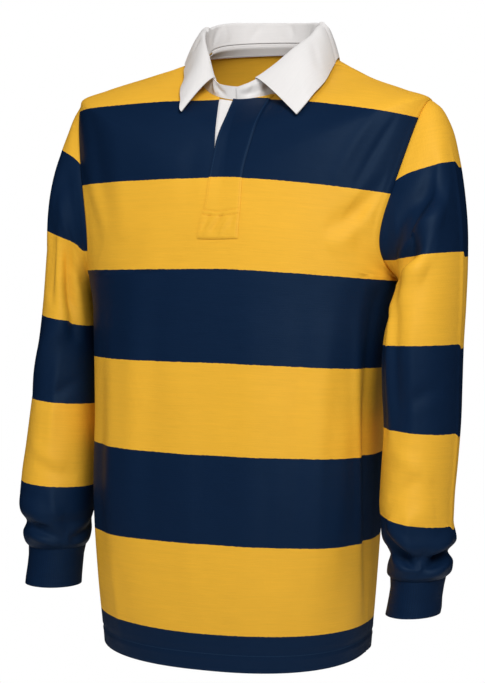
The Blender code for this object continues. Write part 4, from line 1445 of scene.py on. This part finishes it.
class JerseyColours(bpy.types.PropertyGroup):
    """Colours of the yarns, the thread and the studio."""

    gold: colour_property("Gold", "Yarn of the gold hoops", (0.85, 0.45, 0.035))
    navy: colour_property("Navy", "Yarn of the navy hoops and the cuffs", (0.0034, 0.0142, 0.0440))
    gold_thread: colour_property(
        "Gold thread", "Thread that sews the gold hoops", (0.84, 0.44, 0.036)
    )
    navy_thread: colour_property(
        "Navy thread", "Thread that sews the navy hoops", (0.014, 0.042, 0.095)
    )
    white: colour_property("White", "Cloth of the collar and the tapes", (0.79, 0.768, 0.757))
    floor: colour_property("Floor", "Studio floor", (0.90, 0.90, 0.90))


# The large sheets, made once and used by several operators
made = {}


def panels():
    """The four large pieces of cloth as sheets, with their creases and joined seams."""
    if "front" in made:
        return made
    strength = sizes().crease_strength
    front = front_sheet()
    back = back_sheet()
    add_creases(front, FRONT_FOLDS)
    add_creases(back, BACK_FOLDS)
    add_creases(front, FRONT_CREASES, strength, PANEL_FADE)
    add_creases(back, BACK_CREASES, strength, PANEL_FADE)
    puff_seams(front)
    puff_seams(back)
    loops = {left: armhole(front, back, left) for left in (True, False)}
    sleeves = {
        True: sleeve_sheet(loops[True], LEFT_SLEEVE),
        False: sleeve_sheet(loops[False], RIGHT_SLEEVE),
    }
    add_creases(sleeves[True], LEFT_SLEEVE_FOLDS)
    add_creases(sleeves[False], RIGHT_SLEEVE_FOLDS)
    add_creases(sleeves[True], LEFT_SLEEVE_CREASES, strength, SLEEVE_FADE)
    add_creases(sleeves[False], RIGHT_SLEEVE_CREASES, strength, SLEEVE_FADE)
    for sleeve in sleeves.values():
        puff_seams(sleeve)
    made["around"], base = collar_base(front, back)
    made["base"] = base
    body = slice(0, ARMPIT_ROW + 1)
    yoke = slice(TIP_ROW, len(LEVELS))
    span = TIP_ROW - ARMPIT_ROW
    down = np.arange(TIP_ROW - 1, ARMPIT_ROW, -1)
    up = down[::-1]
    forward = np.arange(1, span)
    rear = np.arange(span + 1, 2 * span)
    for left in (True, False):
        edge, after = (-1, -2) if left else (0, 1)
        other, beyond = (0, 1) if left else (-1, -2)
        sleeve = sleeves[left]
        part_corner(sleeve, 0, front, back, (TIP_ROW, edge), (TIP_ROW, other), 1)
        part_corner(sleeve, span, front, back, (ARMPIT_ROW, edge), (ARMPIT_ROW, other), -1)
        for rows in (body, yoke):
            part_seam(front, (rows, edge), (rows, after), back, (rows, other), (rows, beyond))
        part_seam(front, (down, edge), (down, after), sleeve, (0, forward), (1, forward))
        part_seam(back, (up, other), (up, beyond), sleeve, (0, rear), (1, rear))
    body_hoops(front, True)
    body_hoops(back, False)
    sleeve_hoops(sleeves[True], LEFT_HOOPS, LEFT_STEP)
    sleeve_hoops(sleeves[False], RIGHT_HOOPS, RIGHT_STEP)
    made["front"] = front
    made["back"] = back
    made["sleeve_left"] = sleeves[True]
    made["sleeve_right"] = sleeves[False]
    return made


class JERSEY_OT_body(bpy.types.Operator):
    """Make the front and back panels with their hoops and creases"""

    bl_idname = "jersey.body"
    bl_label = "Body panels"

    def execute(self, context):
        sheets = panels()
        depth = [HEM_WALL if level <= HEM_TOP else JERSEY_WALL for level, _ in LEVELS]
        for name in ("front", "back"):
            piece = wall(name + "_cloth", sheets[name], depth, jersey_cloth(), name + "_panel")
        return {"FINISHED"}


class JERSEY_OT_sleeves(bpy.types.Operator):
    """Make both sleeves with their hoops and creases"""

    bl_idname = "jersey.sleeves"
    bl_label = "Sleeves"

    def execute(self, context):
        sheets = panels()
        for name in ("sleeve_left", "sleeve_right"):
            piece = wall(name + "_cloth", sheets[name], JERSEY_WALL, jersey_cloth(), name)
        return {"FINISHED"}


class JERSEY_OT_cuffs(bpy.types.Operator):
    """Make both ribbed cuffs"""

    bl_idname = "jersey.cuffs"
    bl_label = "Cuffs"

    def execute(self, context):
        sheets = panels()
        for name, cuts in (("left", LEFT_CUFF), ("right", RIGHT_CUFF)):
            sheet = cuff_sheet(sheets["sleeve_" + name], cuts)
            piece = wall("cuff_" + name + "_rib", sheet, CUFF_WALL, rib_cloth(), "cuff_" + name)
        return {"FINISHED"}


class JERSEY_OT_collar(bpy.types.Operator):
    """Make the collar, its stand and the tape inside the neck"""

    bl_idname = "jersey.collar"
    bl_label = "Collar"

    def execute(self, context):
        sheets = panels()
        folds = collar_folds(sheets["around"], sheets["base"])
        strength = sizes().crease_strength
        stand = stand_sheet(sheets["base"], folds)
        add_creases(stand, STAND_CREASES, strength, STAND_FADE)
        leaf = leaf_sheet(sheets["around"], sheets["base"], folds)
        add_creases(leaf, LEAF_CREASES, strength, LEAF_FADE)
        tape = tape_sheet(sheets["back"])
        stand = wall("collar_stand_cloth", stand, COLLAR_WALL, white_cloth(), "collar_stand")
        leaf = wall("collar_leaf_cloth", leaf, COLLAR_WALL, white_cloth(), "collar_leaf")
        tape = wall("neck_tape_cloth", tape, TAPE_WALL, white_cloth(), "neck_tape")
        return {"FINISHED"}


class JERSEY_OT_placket(bpy.types.Operator):
    """Make the two bands of the neck opening"""

    bl_idname = "jersey.placket"
    bl_label = "Placket"

    def execute(self, context):
        front = panels()["front"]
        upper = band_sheet(front, upper_lift, BAND_FOOT, upper_span, UPPER_COLUMNS)
        flush = band_sheet(front, lambda *place: 0.0, BAND_FOOT, upper_span, UPPER_COLUMNS)
        raised = np.linalg.norm(upper.points - flush.points, axis=2)
        add_creases(upper, BAND_CREASES, sizes().crease_strength, BAND_FADE)
        thick = np.clip(raised - SEAM_GAP, THINNEST_BAND, JERSEY_WALL)
        piece = wall("placket_upper_cloth", upper, thick, jersey_cloth(), "placket_upper")
        under = band_sheet(front, under_lift, SLIT_FOOT, under_span, UNDER_COLUMNS)
        piece = wall("placket_under_cloth", under, TAPE_WALL, white_cloth(), "placket_under")
        return {"FINISHED"}


class JERSEY_OT_sewing(bpy.types.Operator):
    """Sew the placket, the hem, the side seams and the neck tape"""

    bl_idname = "jersey.sewing"
    bl_label = "Sewing"

    def execute(self, context):
        sheets = panels()
        front = sheets["front"]
        lines = []
        for share in SIDE_LINES:
            ends = [(level, share) for level in SIDE_LINE_LEVELS]
            lines.append(band_line(front, ends, SIDE_LINE_STEPS))
        for level in BOX_LINES:
            ends = [(level, share) for share in BOX_LINE_SHARES]
            lines.append(band_line(front, ends, BOX_LINE_STEPS))
        sew("placket_thread", lines, thread_cloth())
        lines = []
        for panel in (front, sheets["back"]):
            inner = slice(HEM_THREAD_INSET, -HEM_THREAD_INSET)
            lines.append([grid[FINE, inner] for grid in (panel.points, panel.normals, panel.map)])
        sew("hem_thread", lines, thread_cloth())
        for left in (True, False):
            name = "seam_allowance_" + ("left" if left else "right")
            sheet = allowance_sheet(front, sheets["back"], left)
            piece = wall(name, sheet, ALLOWANCE_WALL, jersey_cloth())
        tape = tape_sheet(sheets["back"])
        lines = []
        for row in (1, -2):
            inner = slice(TAPE_THREAD_INSET, -TAPE_THREAD_INSET)
            lines.append([grid[row, inner] for grid in (tape.points, -tape.normals, tape.map)])
        for line in lines:
            line[0] = line[0] + line[1] * TAPE_WALL
        sew("tape_thread", lines, white_cloth())
        return {"FINISHED"}


class JERSEY_OT_stage(bpy.types.Operator):
    """Make the pale floor, the soft lights and the camera"""

    bl_idname = "jersey.stage"
    bl_label = "Studio"

    def execute(self, context):
        scene = context.scene
        scene.view_settings.view_transform = "Standard"
        make_floor()
        make_lights()
        make_camera()
        return {"FINISHED"}


def make_floor():
    """A round pale floor below the hem."""
    mesh = bpy.data.meshes.new("studio_floor")
    ring = []
    for i in range(FLOOR_SIDES):
        turn = 2 * math.pi * i / FLOOR_SIDES
        ring.append((FLOOR_RADIUS * math.cos(turn), FLOOR_RADIUS * math.sin(turn), FLOOR_HEIGHT))
    mesh.from_pydata(ring, [], [list(range(FLOOR_SIDES))])
    floor = bpy.data.objects.new("studio_floor", mesh)
    bpy.context.scene.collection.objects.link(floor)
    material = bpy.data.materials.new("studio_floor_paint")
    material.use_nodes = True
    tree = material.node_tree
    shader = tree.nodes["Principled BSDF"]
    place = tree.nodes.new("ShaderNodeTexCoord")
    grain = noise_node(tree, place.outputs["Object"], (3.0, 3.0, 3.0))
    gain = math_node(tree, "ADD", math_node(tree, "MULTIPLY", grain, 0.02), 0.99)
    scale = tree.nodes.new("ShaderNodeVectorMath")
    scale.operation = "SCALE"
    scale.inputs[0].default_value = colours().floor
    link(tree, gain, scale.inputs["Scale"])
    link(tree, scale.outputs[0], shader.inputs["Base Color"])
    shader.inputs["Roughness"].default_value = 0.9
    mesh.materials.append(material)


def make_lights():
    """A white surround and three soft lights, the strongest on the wearer's left."""
    world = bpy.data.worlds.new("studio_surround")
    bpy.context.scene.world = world
    world.use_nodes = True
    world.cycles_visibility.glossy = False
    tree = world.node_tree
    back = tree.nodes["Background"]
    back.inputs["Color"].default_value = (1.0, 1.0, 1.0, 1.0)
    back.inputs["Strength"].default_value = SURROUND_LIGHT
    seen = tree.nodes.new("ShaderNodeBackground")
    seen.inputs["Color"].default_value = (1.0, 1.0, 1.0, 1.0)
    seen.inputs["Strength"].default_value = 1.0
    path = tree.nodes.new("ShaderNodeLightPath")
    mix = tree.nodes.new("ShaderNodeMixShader")
    link(tree, path.outputs["Is Camera Ray"], mix.inputs[0])
    link(tree, back.outputs[0], mix.inputs[1])
    link(tree, seen.outputs[0], mix.inputs[2])
    link(tree, mix.outputs[0], tree.nodes["World Output"].inputs["Surface"])
    for row in LAMPS:
        data = bpy.data.lights.new(row.name, "AREA")
        data.shape = "DISK"
        data.size = row.size
        data.energy = row.watts
        lamp = bpy.data.objects.new(row.name, data)
        lamp.visible_glossy = row.name == "key_light"
        lamp.location = row.place
        aim = Vector(LAMP_AIM) - Vector(row.place)
        lamp.rotation_euler = aim.to_track_quat("-Z", "Y").to_euler()
        bpy.context.scene.collection.objects.link(lamp)


def make_camera():
    """The camera of the photograph, to the wearer's left and just above level."""
    turn, tip = math.radians(CAMERA_TURN), math.radians(CAMERA_TIP)
    side = Vector((math.cos(turn), math.sin(turn), 0.0))
    back = Vector((math.sin(turn) * math.cos(tip), -math.cos(turn) * math.cos(tip), math.sin(tip)))
    target = Vector(CAMERA_AIM) - side * CAMERA_SHIFT
    data = bpy.data.cameras.new("photo_camera")
    data.sensor_width = CAMERA_SENSOR
    data.lens = CAMERA_LENS
    camera = bpy.data.objects.new("photo_camera", data)
    camera.location = target + back * CAMERA_REACH
    camera.rotation_euler = (-back).to_track_quat("-Z", "Y").to_euler()
    bpy.context.scene.collection.objects.link(camera)
    bpy.context.scene.camera = camera


OPERATORS = (
    JERSEY_OT_body,
    JERSEY_OT_sleeves,
    JERSEY_OT_cuffs,
    JERSEY_OT_collar,
    JERSEY_OT_placket,
    JERSEY_OT_sewing,
    JERSEY_OT_stage,
)


class JERSEY_PT_sidebar(bpy.types.Panel):
    """Sizes, colours and pieces of the jersey"""

    bl_idname = "JERSEY_PT_sidebar"
    bl_label = "Jersey"
    bl_space_type = "VIEW_3D"
    bl_region_type = "UI"
    bl_category = "Jersey"

    def draw(self, context):
        layout = self.layout
        for group in (context.scene.jersey_sizes, context.scene.jersey_colours):
            for name in group.__annotations__:
                layout.prop(group, name)
        for operator in OPERATORS:
            layout.operator(operator.bl_idname)


CLASSES = (JerseySizes, JerseyColours, *OPERATORS, JERSEY_PT_sidebar)


def register():
    for cls in CLASSES:
        bpy.utils.register_class(cls)
    bpy.types.Scene.jersey_sizes = bpy.props.PointerProperty(type=JerseySizes)
    bpy.types.Scene.jersey_colours = bpy.props.PointerProperty(type=JerseyColours)


def unregister():
    del bpy.types.Scene.jersey_colours
    del bpy.types.Scene.jersey_sizes
    for cls in reversed(CLASSES):
        bpy.utils.unregister_class(cls)


def main():
    register()
    bpy.ops.jersey.body()
    bpy.ops.jersey.sleeves()
    bpy.ops.jersey.cuffs()
    bpy.ops.jersey.collar()
    bpy.ops.jersey.placket()
    bpy.ops.jersey.sewing()
    bpy.ops.jersey.stage()


if __name__ == "__main__":
    main()
